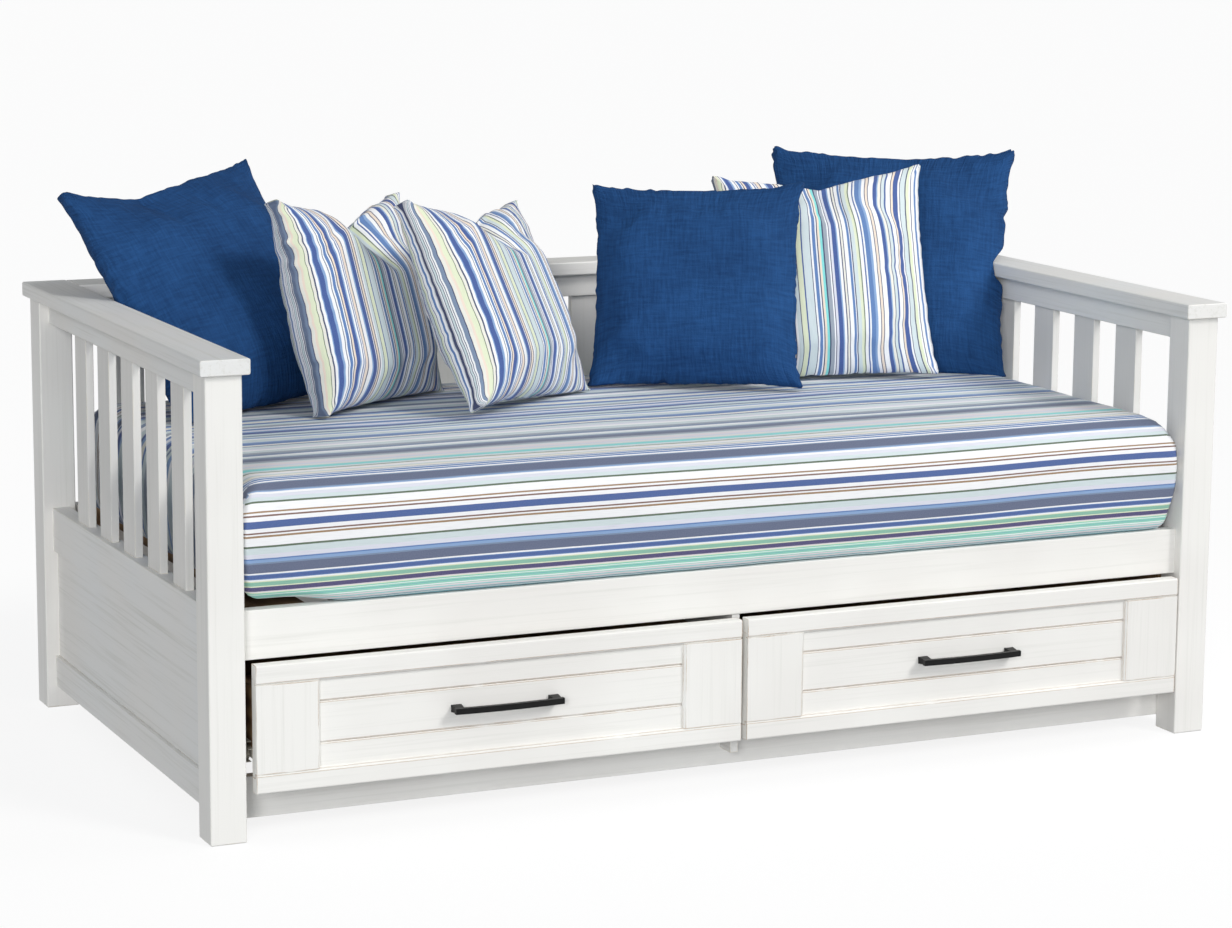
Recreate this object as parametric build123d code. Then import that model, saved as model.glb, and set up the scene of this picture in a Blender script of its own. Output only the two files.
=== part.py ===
from build123d import *
import os
from math import cos, radians, sin

# Storage daybed: slatted arms and back under one flat cap, a mattress on boards, and two drawers on roller
# runners below. Millimetres, +Z up, the front towards -Y. The origin is on the floor, under the middle of the
# whole footprint.

# Overall sizes
overall_length = 2092.0
overall_depth = 1150.0
cap_top_height = 872.0
mattress_rail_top = 417.0
mattress_rail_height = 90.0

# Posts and caps
post_side = 68.0
post_edge_round = 3.0
foot_chamfer = 2.0
cap_overhang = 12.0
cap_thickness = 29.0
cap_edge_round = 4.0

# Arm and back frames
rail_recess = 20.0
rail_thickness = 36.0
rail_edge_round = 2.0
top_rail_height = 48.0
bottom_rail_height = 64.0
bottom_rail_gap = 44.0
panel_thickness = 12.0
panel_setback = 8.0
groove_depth = 9.0
groove_play = 0.25
panel_end_play = 1.0

# Slats of the arms and the back
slat_width = 76.0
slat_thickness = 16.0
slat_edge_round = 1.5
arm_slat_gap = 82.0
arm_slat_end_gap = 100.0
back_slat_gap = 96.0
back_slat_end_gap = 40.0

# Front rail, the boards under the mattress and what carries them
front_rail_recess = 22.0
front_rail_thickness = 28.0
cleat_height = 35.0
cleat_depth = 22.0
board_width = 90.0
board_thickness = 18.0
board_count = 12
board_end_play = 1.0

# Angle brackets and screws behind the front rail
bracket_leg = 38.0
bracket_height = 70.0
bracket_gauge = 3.0
bracket_height_shares = (0.25, 0.75)
bracket_leg_share = 0.6
screw_radius = 2.4
screw_head_radius = 4.6
screw_head_height = 2.2
screw_length = 24.0
screw_play = 0.15

# Divider, runner boards and toe-kick rail
divider_thickness = 16.0
divider_bottom = 58.0
divider_setback = 26.0
board_fit = 0.3
toe_kick_setback = 70.0
toe_kick_thickness = 22.0
toe_kick_bottom = 24.0
toe_kick_top = 102.0
runner_board_thickness = 18.0
runner_board_clear = 2.0

# Drawer fronts
front_proud = 15.0
front_thickness = 24.0
front_bottom_height = 90.0
front_rail_gap = 3.0
front_side_gap = 14.0
front_centre_gap = 12.0
stile_width = 120.0
front_frame_height = 36.0
front_outer_round = 4.0
front_inner_bevel = 4.0
plank_setback = 9.0
plank_thickness = 12.0
plank_bevel = 2.2
plank_gap = 0.4
plank_count = 3
rebate_width = 8.0
rebate_play = 0.3
plank_height_shares = (0.25, 0.47, 0.28)

# Drawer boxes
box_side_thickness = 12.0
box_side_height = 130.0
box_depth = 560.0
box_bottom_thickness = 6.0
box_bottom_rise = 8.0
box_groove_depth = 6.0
box_groove_play = 0.15

# Roller runners, in section across one side of a drawer
runner_space = 12.5
runner_height = 38.0
runner_gauge = 1.2
runner_middle_height = 160.0
runner_length = 560.0
runner_setback = 24.0
cabinet_flange_width = 11.0
drawer_runner_length = 545.0
drawer_runner_start = 12.0
drawer_runner_drop = 12.0
drawer_runner_ledge = 12.0
running_gap = 0.3
roller_radius = 12.0
roller_width = 7.0
roller_inset = 2.6
roller_bore_play = 0.05
roller_edge_round = 1.0
axle_radius = 3.0
front_roller_inset = 16.0
rear_roller_inset = 14.0

# Handles
handle_spacing = 192.0
handle_length = 214.0
handle_height = 11.0
handle_depth = 9.0
handle_reach = 34.0
handle_bow = 5.0
handle_foot_length = 15.0
handle_foot_flare = 2.5
handle_screw_radius = 2.0
handle_screw_head_radius = 4.0
handle_screw_head_height = 2.5
handle_screw_bite = 12.0

# Mattress and pillows
mattress_end_gap = 16.0
mattress_rear_gap = 59.0
mattress_thickness = 225.0
mattress_setback = 35.0
mattress_corner = 75.0
soft_gap = 0.3
large_pillow_width = 545.0
small_pillow_width = 450.0
large_pillow_thickness = 165.0
small_pillow_thickness = 140.0
blue_pillow_left_end = 332.5
blue_pillow_left_rear = 319.0
striped_pillow_left_end = 525.0
striped_pillow_left_rear = 359.0
striped_pillow_middle_end = 807.0
striped_pillow_middle_rear = 489.0
blue_pillow_centre_end = 748.0
blue_pillow_centre_rear = 421.5
striped_pillow_right_end = 408.0
striped_pillow_right_rear = 386.5
blue_pillow_right_end = 271.0
blue_pillow_right_rear = 273.0
pillow_angles = {
    "blue_pillow_left": (28, 34, 3), "striped_pillow_left": (36, 15, -1), "striped_pillow_middle": (40, 24, -4),
    "blue_pillow_centre": (-30, 20, 1.5), "striped_pillow_right": (-18, 15, 3), "blue_pillow_right": (-40, 20, 1)}
settling_count = 4
pillow_chop_share = 0.11
pillow_chop_start_share = 0.5

# Shares: mattress outline as (height, inset) and pillow sections as (thickness, size, side bulge, corner)
mattress_section_shares = (
    (0.0, 0.55), (0.06, 0.18), (0.25, 0.03), (0.55, 0.0), (0.80, 0.10), (0.93, 0.42), (1.0, 1.15))
pillow_section_shares = (
    (-0.50, 0.30, -0.010, 0.11), (-0.44, 0.55, -0.020, 0.17), (-0.28, 0.80, -0.010, 0.14),
    (-0.10, 0.93, 0.012, 0.09), (0.0, 1.0, 0.040, 0.04),
    (0.10, 0.93, 0.012, 0.09), (0.28, 0.80, -0.010, 0.14), (0.44, 0.55, -0.020, 0.17), (0.50, 0.30, -0.010, 0.11))

# Derived lines
cap_width = post_side + 2 * cap_overhang
post_height = cap_top_height - cap_thickness
half_length = overall_length / 2
inner_half_length = half_length - post_side
handle_projection = handle_reach - (plank_setback - front_proud)
centre_shift = (handle_projection - cap_overhang) / 2
front_y = centre_shift - overall_depth / 2
back_y = centre_shift + overall_depth / 2
rail_outer_x = half_length - rail_recess
rail_inner_x = rail_outer_x - rail_thickness
back_rail_outer_y = back_y - rail_recess
back_rail_inner_y = back_rail_outer_y - rail_thickness
side_start_y = front_y + post_side
side_end_y = back_y - post_side
mattress_rail_bottom = mattress_rail_top - mattress_rail_height
top_rail_bottom = post_height - top_rail_height
bottom_rail_top = bottom_rail_gap + bottom_rail_height
front_rail_y = front_y + front_rail_recess
front_rail_back_y = front_rail_y + front_rail_thickness
cleat_top = mattress_rail_top - board_thickness
cleat_bottom = cleat_top - cleat_height
runner_board_x = rail_inner_x - runner_board_thickness
front_top = mattress_rail_bottom - front_rail_gap
front_face_y = front_y - front_proud
front_rear_y = front_face_y + front_thickness
plank_face_y = front_face_y + plank_setback
front_outer_x = inner_half_length - front_side_gap
front_inner_x = front_centre_gap / 2
box_outer_x = runner_board_x - runner_space
box_inner_x = divider_thickness / 2 + runner_space
box_bottom = runner_middle_height - drawer_runner_drop + runner_gauge
box_top = box_bottom + box_side_height
box_back_y = front_rear_y + box_depth
roller_centre_height = runner_middle_height - runner_height / 2 + runner_gauge + running_gap + roller_radius
mattress_bottom = mattress_rail_top + soft_gap
mattress_top = mattress_bottom + mattress_thickness
mattress_length = 2 * (inner_half_length - mattress_end_gap)
mattress_front_y = front_y + mattress_setback
mattress_back_y = back_rail_inner_y - mattress_rear_gap
mattress_depth = mattress_back_y - mattress_front_y

corner_half_angle = 45
upright = 90

parts = {}


def slab(x0, x1, y0, y1, z0, z1):
    """A plain block between two corners."""
    low = (Align.MIN, Align.MIN, Align.MIN)
    return Pos(x0, y0, z0) * Box(x1 - x0, y1 - y0, z1 - z0, align=low)


def eased(solid, axis, radius):
    """A block with its four edges along one axis rounded."""
    return fillet(solid.edges().filter_by(axis), radius)


def mirrored(solid):
    """The same piece on the other side of the middle."""
    return mirror(solid, about=Plane.YZ)


def add(name, *solids):
    """Keep one or more separate solids as a named piece."""
    parts[name] = list(solids)


def add_pair(left_name, right_name, *solids):
    """Keep a piece of the left side and its mirror image on the right."""
    add(left_name, *solids)
    add(right_name, *[mirrored(one) for one in solids])


def prism_x(points, x0, x1):
    """An outline in Y and Z, drawn out along X."""
    wire = Wire.make_polygon([(x0, y, z) for y, z in points], close=True)
    return Solid.extrude(Face(wire), Vector(x1 - x0, 0, 0))


def prism_y(points, y0, y1):
    """An outline in X and Z, drawn out along Y."""
    wire = Wire.make_polygon([(x, y0, z) for x, z in points], close=True)
    return Solid.extrude(Face(wire), Vector(0, y1 - y0, 0))


def rod_x(x0, x1, y, z, radius):
    """A round rod along X."""
    return Solid.make_cylinder(radius, x1 - x0, Plane((x0, y, z), z_dir=(1, 0, 0)))


def rod_y(y0, y1, x, z, radius):
    """A round rod along Y."""
    return Solid.make_cylinder(radius, y1 - y0, Plane((x, y0, z), z_dir=(0, 1, 0)))


def screw_y(head_y, tip_y, x, z):
    """A screw along Y, its head at one end."""
    toward = 1 if tip_y > head_y else -1
    low, high = sorted((head_y, tip_y))
    shank = rod_y(low, high, x, z, screw_radius)
    low, high = sorted((head_y, head_y - toward * screw_head_height))
    return shank.fuse(rod_y(low, high, x, z, screw_head_radius))


def screw_x(head_x, tip_x, y, z):
    """A screw along X, its head at one end."""
    toward = 1 if tip_x > head_x else -1
    low, high = sorted((head_x, tip_x))
    shank = rod_x(low, high, y, z, screw_radius)
    low, high = sorted((head_x, head_x - toward * screw_head_height))
    return shank.fuse(rod_x(low, high, y, z, screw_head_radius))


# Angle brackets tie the front rail to the posts, with two screws in each leg
bracket_bottom = mattress_rail_bottom + (mattress_rail_height - bracket_height) / 2
bracket_heights = [bracket_bottom + bracket_height * share for share in bracket_height_shares]
bracket_hole_x = -inner_half_length + bracket_leg * bracket_leg_share
bracket_wood_x = -inner_half_length - screw_length
bracket_wood_y = front_rail_back_y - screw_length
bracket_start_y = front_rail_back_y
bracket_end_y = bracket_start_y + bracket_leg
post_hole_y = bracket_start_y + (side_start_y - bracket_start_y) / 2


def bracket_holes(radius):
    """The screws' shanks of the left bracket, as plain rods."""
    rods = []
    for height in bracket_heights:
        rods.append(rod_y(bracket_wood_y, front_rail_back_y + bracket_gauge, bracket_hole_x, height, radius))
        rods.append(rod_x(bracket_wood_x, bracket_gauge - inner_half_length, post_hole_y, height, radius))
    return rods


def cut_all(solid, tools):
    """Take each tool away from a solid."""
    for tool in tools:
        solid = solid - tool
    return solid


# Posts, which are also the feet
def post(y0):
    block = slab(-half_length, -inner_half_length, y0, y0 + post_side, 0, post_height)
    block = eased(block, Axis.Z, post_edge_round)
    return chamfer(block.faces().sort_by(Axis.Z)[0].edges(), foot_chamfer)


pilot_radius = screw_radius + screw_play
front_post = cut_all(post(front_y), bracket_holes(pilot_radius))
add_pair("front_left_post", "front_right_post", front_post)
add_pair("rear_left_post", "rear_right_post", post(side_end_y))

# Caps: the arm caps run the full depth and the back cap lies between them
cap_inner_x = half_length + cap_overhang - cap_width
arm_cap = slab(-half_length - cap_overhang, -cap_inner_x, front_y - cap_overhang, back_y + cap_overhang,
               post_height, cap_top_height)
arm_cap = fillet(arm_cap.edges().filter_by(Axis.Y), cap_edge_round)
arm_cap = fillet(arm_cap.faces().sort_by(Axis.Y)[0].edges(), cap_edge_round / 2)
add_pair("left_arm_cap", "right_arm_cap", arm_cap)
back_cap = slab(-cap_inner_x, cap_inner_x, back_y + cap_overhang - cap_width, back_y + cap_overhang,
                post_height, cap_top_height)
add("back_cap", eased(back_cap, Axis.X, cap_edge_round))

# Rails of the arms, with grooves that hold the panel
panel_outer_x = rail_outer_x - panel_setback
panel_inner_x = panel_outer_x - panel_thickness


def arm_rail(z0, z1):
    rail = slab(-rail_outer_x, -rail_inner_x, side_start_y, side_end_y, z0, z1)
    return eased(rail, Axis.Y, rail_edge_round)


def arm_groove(z0, z1):
    return slab(-panel_outer_x - groove_play, -panel_inner_x + groove_play, side_start_y, side_end_y, z0, z1)


arm_middle = arm_rail(mattress_rail_bottom, mattress_rail_top)
arm_middle = arm_middle - arm_groove(mattress_rail_bottom, mattress_rail_bottom + groove_depth)
arm_bottom = arm_rail(bottom_rail_gap, bottom_rail_top)
arm_bottom = arm_bottom - arm_groove(bottom_rail_top - groove_depth, bottom_rail_top)
add_pair("left_arm_top_rail", "right_arm_top_rail", arm_rail(top_rail_bottom, post_height))
add_pair("left_arm_middle_rail", "right_arm_middle_rail", arm_middle)
add_pair("left_arm_bottom_rail", "right_arm_bottom_rail", arm_bottom)
panel_bottom = bottom_rail_top - groove_depth + panel_end_play
panel_top = mattress_rail_bottom + groove_depth - panel_end_play
arm_panel = slab(-panel_outer_x, -panel_inner_x, side_start_y, side_end_y, panel_bottom, panel_top)
add("arm_panels", arm_panel, mirrored(arm_panel))

# Slats of the arms, centred in the thickness of their rails, as many as leave the least gap at the posts
slat_face_x = rail_outer_x - (rail_thickness - slat_thickness) / 2
arm_slat_pitch = slat_width + arm_slat_gap
arm_slat_count = int((side_end_y - side_start_y - 2 * arm_slat_end_gap + arm_slat_gap) / arm_slat_pitch)
arm_slats = []
for index in range(arm_slat_count):
    middle = centre_shift + (index - (arm_slat_count - 1) / 2) * arm_slat_pitch
    slat = slab(-slat_face_x, slat_thickness - slat_face_x, middle - slat_width / 2, middle + slat_width / 2,
                mattress_rail_top, top_rail_bottom)
    arm_slats.append(eased(slat, Axis.Z, slat_edge_round))
add_pair("left_arm_slats", "right_arm_slats", *arm_slats)


# Back frame, built like the arms
def back_rail(z0, z1):
    rail = slab(-inner_half_length, inner_half_length, back_rail_inner_y, back_rail_outer_y, z0, z1)
    return eased(rail, Axis.X, rail_edge_round)


back_panel_outer_y = back_rail_outer_y - panel_setback
back_panel_inner_y = back_panel_outer_y - panel_thickness


def back_groove(z0, z1):
    return slab(-inner_half_length, inner_half_length, back_panel_inner_y - groove_play,
                back_panel_outer_y + groove_play, z0, z1)


back_middle = back_rail(mattress_rail_bottom, mattress_rail_top)
back_middle = back_middle - back_groove(mattress_rail_bottom, mattress_rail_bottom + groove_depth)
back_bottom = back_rail(bottom_rail_gap, bottom_rail_top)
back_bottom = back_bottom - back_groove(bottom_rail_top - groove_depth, bottom_rail_top)
add("back_top_rail", back_rail(top_rail_bottom, post_height))
add("back_middle_rail", back_middle)
add("back_bottom_rail", back_bottom)
add("back_panel", slab(-inner_half_length, inner_half_length, back_panel_inner_y, back_panel_outer_y,
                       panel_bottom, panel_top))

back_slat_y = back_rail_outer_y - (rail_thickness - slat_thickness) / 2
back_slat_pitch = slat_width + back_slat_gap
back_slat_count = int((2 * (inner_half_length - back_slat_end_gap) + back_slat_gap) / back_slat_pitch)
back_slats = []
for index in range(back_slat_count):
    middle = (index - (back_slat_count - 1) / 2) * back_slat_pitch
    slat = slab(middle - slat_width / 2, middle + slat_width / 2, back_slat_y - slat_thickness, back_slat_y,
                mattress_rail_top, top_rail_bottom)
    back_slats.append(eased(slat, Axis.Z, slat_edge_round))
add("back_slats", *back_slats)

# Front rail under the mattress
front_rail = slab(-inner_half_length, inner_half_length, front_rail_y, front_rail_back_y,
                  mattress_rail_bottom, mattress_rail_top)
front_rail = eased(front_rail, Axis.X, rail_edge_round)
front_rail = cut_all(front_rail, bracket_holes(pilot_radius))
front_rail = cut_all(front_rail, [mirrored(rod) for rod in bracket_holes(pilot_radius)])
add("front_mattress_rail", front_rail)

# Brackets behind the front rail: the leg on the post ends at the post's rear edge
bracket_post_end_y = side_start_y - post_edge_round
bracket_outline = [
    (-inner_half_length, bracket_start_y), (bracket_leg - inner_half_length, bracket_start_y),
    (bracket_leg - inner_half_length, bracket_start_y + bracket_gauge),
    (bracket_gauge - inner_half_length, bracket_start_y + bracket_gauge),
    (bracket_gauge - inner_half_length, bracket_post_end_y), (-inner_half_length, bracket_post_end_y)]
bracket_wire = Wire.make_polygon([(x, y, bracket_bottom) for x, y in bracket_outline], close=True)
bracket = Solid.extrude(Face(bracket_wire), Vector(0, 0, bracket_height))
bracket = cut_all(bracket, bracket_holes(pilot_radius))
add("front_rail_brackets", bracket, mirrored(bracket))
bracket_screws = []
for height in bracket_heights:
    bracket_screws.append(screw_y(bracket_start_y + bracket_gauge, bracket_wood_y + screw_play,
                                  bracket_hole_x, height))
    bracket_screws.append(screw_x(bracket_gauge - inner_half_length, bracket_wood_x + screw_play,
                                  post_hole_y, height))
add("bracket_screws", *bracket_screws, *[mirrored(one) for one in bracket_screws])

# Cleats and the boards that carry the mattress
cleat_half = inner_half_length - bracket_leg - board_fit
front_cleat = slab(-cleat_half, cleat_half, front_rail_back_y, front_rail_back_y + cleat_depth,
                   cleat_bottom, cleat_top)
rear_cleat = slab(-inner_half_length, inner_half_length, back_rail_inner_y - cleat_depth, back_rail_inner_y,
                  cleat_bottom, cleat_top)
add("board_cleats", front_cleat, rear_cleat)
boards = []
board_span = 2 * cleat_half - board_width
for index in range(board_count):
    middle = -board_span / 2 + board_span * index / (board_count - 1)
    boards.append(slab(middle - board_width / 2, middle + board_width / 2, front_rail_back_y + board_end_play,
                       back_rail_inner_y - board_end_play, cleat_top, mattress_rail_top))
add("mattress_boards", *boards)

# Toe-kick rail, set back under the drawers, between the bottom rails of the arms
toe_front_y = front_y + toe_kick_setback
toe_back_y = toe_front_y + toe_kick_thickness
toe_kick = slab(-rail_inner_x, rail_inner_x, toe_front_y, toe_back_y, toe_kick_bottom, toe_kick_top)
add("toe_kick_rail", eased(toe_kick, Axis.X, rail_edge_round))

# Divider: one board on edge, notched over the toe-kick rail and under the front rail
divider_front_y = front_y + divider_setback
divider_outline = [
    (divider_front_y, divider_bottom), (toe_front_y - board_fit, divider_bottom),
    (toe_front_y - board_fit, toe_kick_top + board_fit), (toe_back_y + board_fit, toe_kick_top + board_fit),
    (toe_back_y + board_fit, divider_bottom), (back_rail_inner_y, divider_bottom),
    (back_rail_inner_y, cleat_bottom), (front_rail_back_y, cleat_bottom),
    (front_rail_back_y, mattress_rail_bottom), (divider_front_y, mattress_rail_bottom)]
add("centre_divider", prism_x(divider_outline, -divider_thickness / 2, divider_thickness / 2))

# Runner boards, on the inner faces of the arms' rails
runner_board = slab(-rail_inner_x, -runner_board_x, side_start_y + runner_board_clear, side_end_y,
                    toe_kick_top + runner_board_clear, cleat_bottom - board_fit)
add("runner_boards", runner_board, mirrored(runner_board))

# Roller runners: the section is drawn from the wall that carries the runner (0) to the drawer's side
runner_low = runner_middle_height - runner_height / 2
runner_high = runner_middle_height + runner_height / 2
flange_low = roller_centre_height + roller_radius + running_gap
cabinet_section = [
    (0, runner_low), (cabinet_flange_width, runner_low), (cabinet_flange_width, runner_low + runner_gauge),
    (runner_gauge, runner_low + runner_gauge), (runner_gauge, runner_high - runner_gauge),
    (cabinet_flange_width, runner_high - runner_gauge), (cabinet_flange_width, runner_high), (0, runner_high)]
drawer_web = runner_space - runner_gauge
drawer_ledge = runner_space + drawer_runner_ledge
drawer_section = [
    (roller_inset, flange_low), (drawer_web, flange_low),
    (drawer_web, box_bottom - runner_gauge), (drawer_ledge, box_bottom - runner_gauge),
    (drawer_ledge, box_bottom), (runner_space, box_bottom),
    (runner_space, flange_low + runner_gauge), (roller_inset, flange_low + runner_gauge)]
cabinet_runner_y = front_y + runner_setback
front_roller_y = cabinet_runner_y + front_roller_inset
drawer_runner_y = front_y + drawer_runner_start
drawer_runner_back_y = drawer_runner_y + drawer_runner_length
rear_roller_y = drawer_runner_back_y - rear_roller_inset
roller_start = roller_inset
roller_end = roller_inset + roller_width


def across(wall_x, toward, distance):
    """The X of a point at a distance from a wall, on the side of the drawer."""
    return wall_x + toward * distance


def axle_between(wall_x, toward, near, far, y):
    low, high = sorted((across(wall_x, toward, near), across(wall_x, toward, far)))
    return rod_x(low, high, y, roller_centre_height, axle_radius)


def cabinet_runner(wall_x, toward):
    points = [(across(wall_x, toward, w), z) for w, z in cabinet_section]
    rail = prism_y(points, cabinet_runner_y, cabinet_runner_y + runner_length)
    return rail.fuse(axle_between(wall_x, toward, runner_gauge, roller_end + running_gap, front_roller_y))


def drawer_runner(wall_x, toward):
    points = [(across(wall_x, toward, w), z) for w, z in drawer_section]
    rail = prism_y(points, drawer_runner_y, drawer_runner_back_y)
    return rail.fuse(axle_between(wall_x, toward, roller_start - running_gap, drawer_web, rear_roller_y))


def roller(wall_x, toward, y):
    low, high = sorted((across(wall_x, toward, roller_start), across(wall_x, toward, roller_end)))
    wheel = rod_x(low, high, y, roller_centre_height, roller_radius)
    wheel = fillet(wheel.edges().filter_by(GeomType.CIRCLE), roller_edge_round)
    return wheel - rod_x(low, high, y, roller_centre_height, axle_radius + roller_bore_play)


# The left drawer runs between the left runner board and the divider
runner_walls = ((-runner_board_x, 1), (-divider_thickness / 2, -1))
cabinet_runners = [cabinet_runner(wall, toward) for wall, toward in runner_walls]
add("cabinet_runners", *cabinet_runners, *[mirrored(one) for one in cabinet_runners])
add_pair("left_front_rollers", "right_front_rollers",
         *[roller(wall, toward, front_roller_y) for wall, toward in runner_walls])
add_pair("left_drawer_runners", "right_drawer_runners",
         *[drawer_runner(wall, toward) for wall, toward in runner_walls])
add_pair("left_rear_rollers", "right_rear_rollers",
         *[roller(wall, toward, rear_roller_y) for wall, toward in runner_walls])


# Drawer front: rails over the full width, stiles between them, three planks in the rebate behind
def rail_section(outer_z, inner_z):
    """The section of a front rail in Y and Z, from its outer edge to its inner one."""
    up = 1 if inner_z > outer_z else -1
    inner_back = inner_z - up * rebate_width
    return [
        (front_face_y, outer_z), (front_face_y, inner_z - up * front_inner_bevel),
        (front_face_y + front_inner_bevel, inner_z), (plank_face_y, inner_z), (plank_face_y, inner_back),
        (front_rear_y, inner_back), (front_rear_y, outer_z)]


def front_edges(solid, axis, direction):
    """Edges along an axis that lie on the front face, the outermost first."""
    edges = solid.edges().filter_by(axis).filter_by(lambda edge: abs(edge.center().Y - front_face_y) < board_fit)
    return edges.sort_by(direction)


front_rail_low = front_bottom_height + front_frame_height
front_rail_high = front_top - front_frame_height
top_frame = prism_x(rail_section(front_top, front_rail_high), -front_outer_x, -front_inner_x)
top_frame = fillet(front_edges(top_frame, Axis.X, Axis.Z)[-1:], front_outer_round)
bottom_frame = prism_x(rail_section(front_bottom_height, front_rail_low), -front_outer_x, -front_inner_x)
bottom_frame = fillet(front_edges(bottom_frame, Axis.X, Axis.Z)[:1], front_outer_round)
add_pair("left_drawer_top_rail", "right_drawer_top_rail", top_frame)
add_pair("left_drawer_bottom_rail", "right_drawer_bottom_rail", bottom_frame)


def stile(outer_x, inner_x):
    """A stile, with tongues that fill the rails' rebates above and below it."""
    toward = 1 if inner_x > outer_x else -1
    inner_back = inner_x - toward * rebate_width
    section = [
        (outer_x, front_face_y), (inner_x - toward * front_inner_bevel, front_face_y),
        (inner_x, front_face_y + front_inner_bevel), (inner_x, plank_face_y), (inner_back, plank_face_y),
        (inner_back, front_rear_y), (outer_x, front_rear_y)]
    low = front_rail_low - rebate_width
    high = front_rail_high + rebate_width
    wire = Wire.make_polygon([(x, y, low) for x, y in section], close=True)
    body = Solid.extrude(Face(wire), Vector(0, 0, high - low))
    x0, x1 = sorted((outer_x, inner_x))
    body = body - slab(x0, x1, front_face_y, plank_face_y, low, front_rail_low)
    return body - slab(x0, x1, front_face_y, plank_face_y, front_rail_high, high)


add_pair("left_drawer_stiles", "right_drawer_stiles",
         stile(-front_outer_x, stile_width - front_outer_x), stile(-front_inner_x, -stile_width - front_inner_x))

# Planks, bevelled along their joints, with their outer edges in the rebate
plank_left = stile_width - front_outer_x - rebate_width + rebate_play
plank_right = -stile_width - front_inner_x + rebate_width - rebate_play
plank_back_y = plank_face_y + plank_thickness
field_height = front_rail_high - front_rail_low
plank_edges = [front_rail_high]
for share in plank_height_shares:
    plank_edges.append(plank_edges[-1] - field_height * share)
planks = []
for index in range(plank_count):
    high = plank_edges[index] - plank_gap / 2
    low = plank_edges[index + 1] + plank_gap / 2
    high_bevel = plank_bevel
    low_bevel = plank_bevel
    if index == 0:
        high = front_rail_high + rebate_width - rebate_play
    if index == plank_count - 1:
        low = front_rail_low - rebate_width + rebate_play
    outline = [
        (plank_face_y, low + low_bevel), (plank_face_y, high - high_bevel), (plank_face_y + high_bevel, high),
        (plank_back_y, high), (plank_back_y, low), (plank_face_y + low_bevel, low)]
    planks.append(prism_x(outline, plank_left, plank_right))
handle_z = (plank_edges[1] + plank_edges[2]) / 2
handle_x = -(front_outer_x + front_inner_x) / 2
handle_feet_x = [handle_x - handle_spacing / 2, handle_x + handle_spacing / 2]
handle_screw_end_y = front_rear_y + box_side_thickness
handle_tip_y = plank_face_y - handle_screw_bite


def handle_screw_holes(radius, y0, y1):
    return [rod_y(y0, y1, x, handle_z, radius) for x in handle_feet_x]


handle_hole_radius = handle_screw_radius + screw_play
planks[1] = cut_all(planks[1], handle_screw_holes(handle_hole_radius, plank_face_y, plank_back_y))
add_pair("left_drawer_planks", "right_drawer_planks", *planks)

# Drawer box: two sides over the full depth, two ends between them, a thin bottom in grooves
groove_low = box_bottom + box_bottom_rise
groove_high = groove_low + box_bottom_thickness
box_front_y = front_rear_y
tray_left = -box_outer_x + box_side_thickness
tray_right = -box_inner_x - box_side_thickness
tray_front_y = box_front_y + box_side_thickness
tray_back_y = box_back_y - box_side_thickness
groove_cut = slab(tray_left - box_groove_depth, tray_right + box_groove_depth, tray_front_y - box_groove_depth,
                  tray_back_y + box_groove_depth, groove_low - box_groove_play, groove_high + box_groove_play)
bottom_play = box_groove_play * 2
box_bottom_board = slab(tray_left - box_groove_depth + bottom_play, tray_right + box_groove_depth - bottom_play,
                        tray_front_y - box_groove_depth + bottom_play,
                        tray_back_y + box_groove_depth - bottom_play, groove_low, groove_high)
outer_side = slab(-box_outer_x, tray_left, box_front_y, box_back_y, box_bottom, box_top) - groove_cut
inner_side = slab(tray_right, -box_inner_x, box_front_y, box_back_y, box_bottom, box_top) - groove_cut
front_end = slab(tray_left, tray_right, box_front_y, tray_front_y, box_bottom, box_top) - groove_cut
front_end = cut_all(front_end, handle_screw_holes(handle_hole_radius, box_front_y, tray_front_y))
back_end = slab(tray_left, tray_right, tray_back_y, box_back_y, box_bottom, box_top) - groove_cut
add_pair("left_drawer_box_walls", "right_drawer_box_walls", outer_side, inner_side, front_end, back_end)
add_pair("left_drawer_bottom", "right_drawer_bottom", box_bottom_board)


# Handle: a bowed bar on two feet that widen towards the drawer
def handle():
    bar_back_y = plank_face_y - handle_reach + handle_depth + handle_bow
    bar_front_y = bar_back_y - handle_depth
    half = handle_length / 2
    back = ThreePointArc((handle_x - half, bar_back_y, 0), (handle_x, bar_back_y - handle_bow, 0),
                         (handle_x + half, bar_back_y, 0))
    front = ThreePointArc((handle_x + half, bar_front_y, 0), (handle_x, bar_front_y - handle_bow, 0),
                          (handle_x - half, bar_front_y, 0))
    right = Line((handle_x + half, bar_back_y, 0), (handle_x + half, bar_front_y, 0))
    left = Line((handle_x - half, bar_front_y, 0), (handle_x - half, bar_back_y, 0))
    bar = Solid.extrude(Face(Wire([back, right, front, left])), Vector(0, 0, handle_height))
    bar = Pos(0, 0, handle_z - handle_height / 2) * bar
    for x in handle_feet_x:
        bar = bar.fuse(handle_foot(x, (bar_front_y + bar_back_y) / 2))
    return bar


def handle_foot(x, end_y):
    sections = []
    for y, flare in ((plank_face_y, handle_foot_flare), (end_y, 0)):
        half_x = handle_foot_length / 2 + flare
        half_z = handle_height / 2 + flare - handle_foot_flare / 2
        corners = [(x - half_x, y, handle_z - half_z), (x + half_x, y, handle_z - half_z),
                   (x + half_x, y, handle_z + half_z), (x - half_x, y, handle_z + half_z)]
        sections.append(Wire.make_polygon(corners, close=True))
    return Solid.make_loft(sections, ruled=True)


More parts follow.
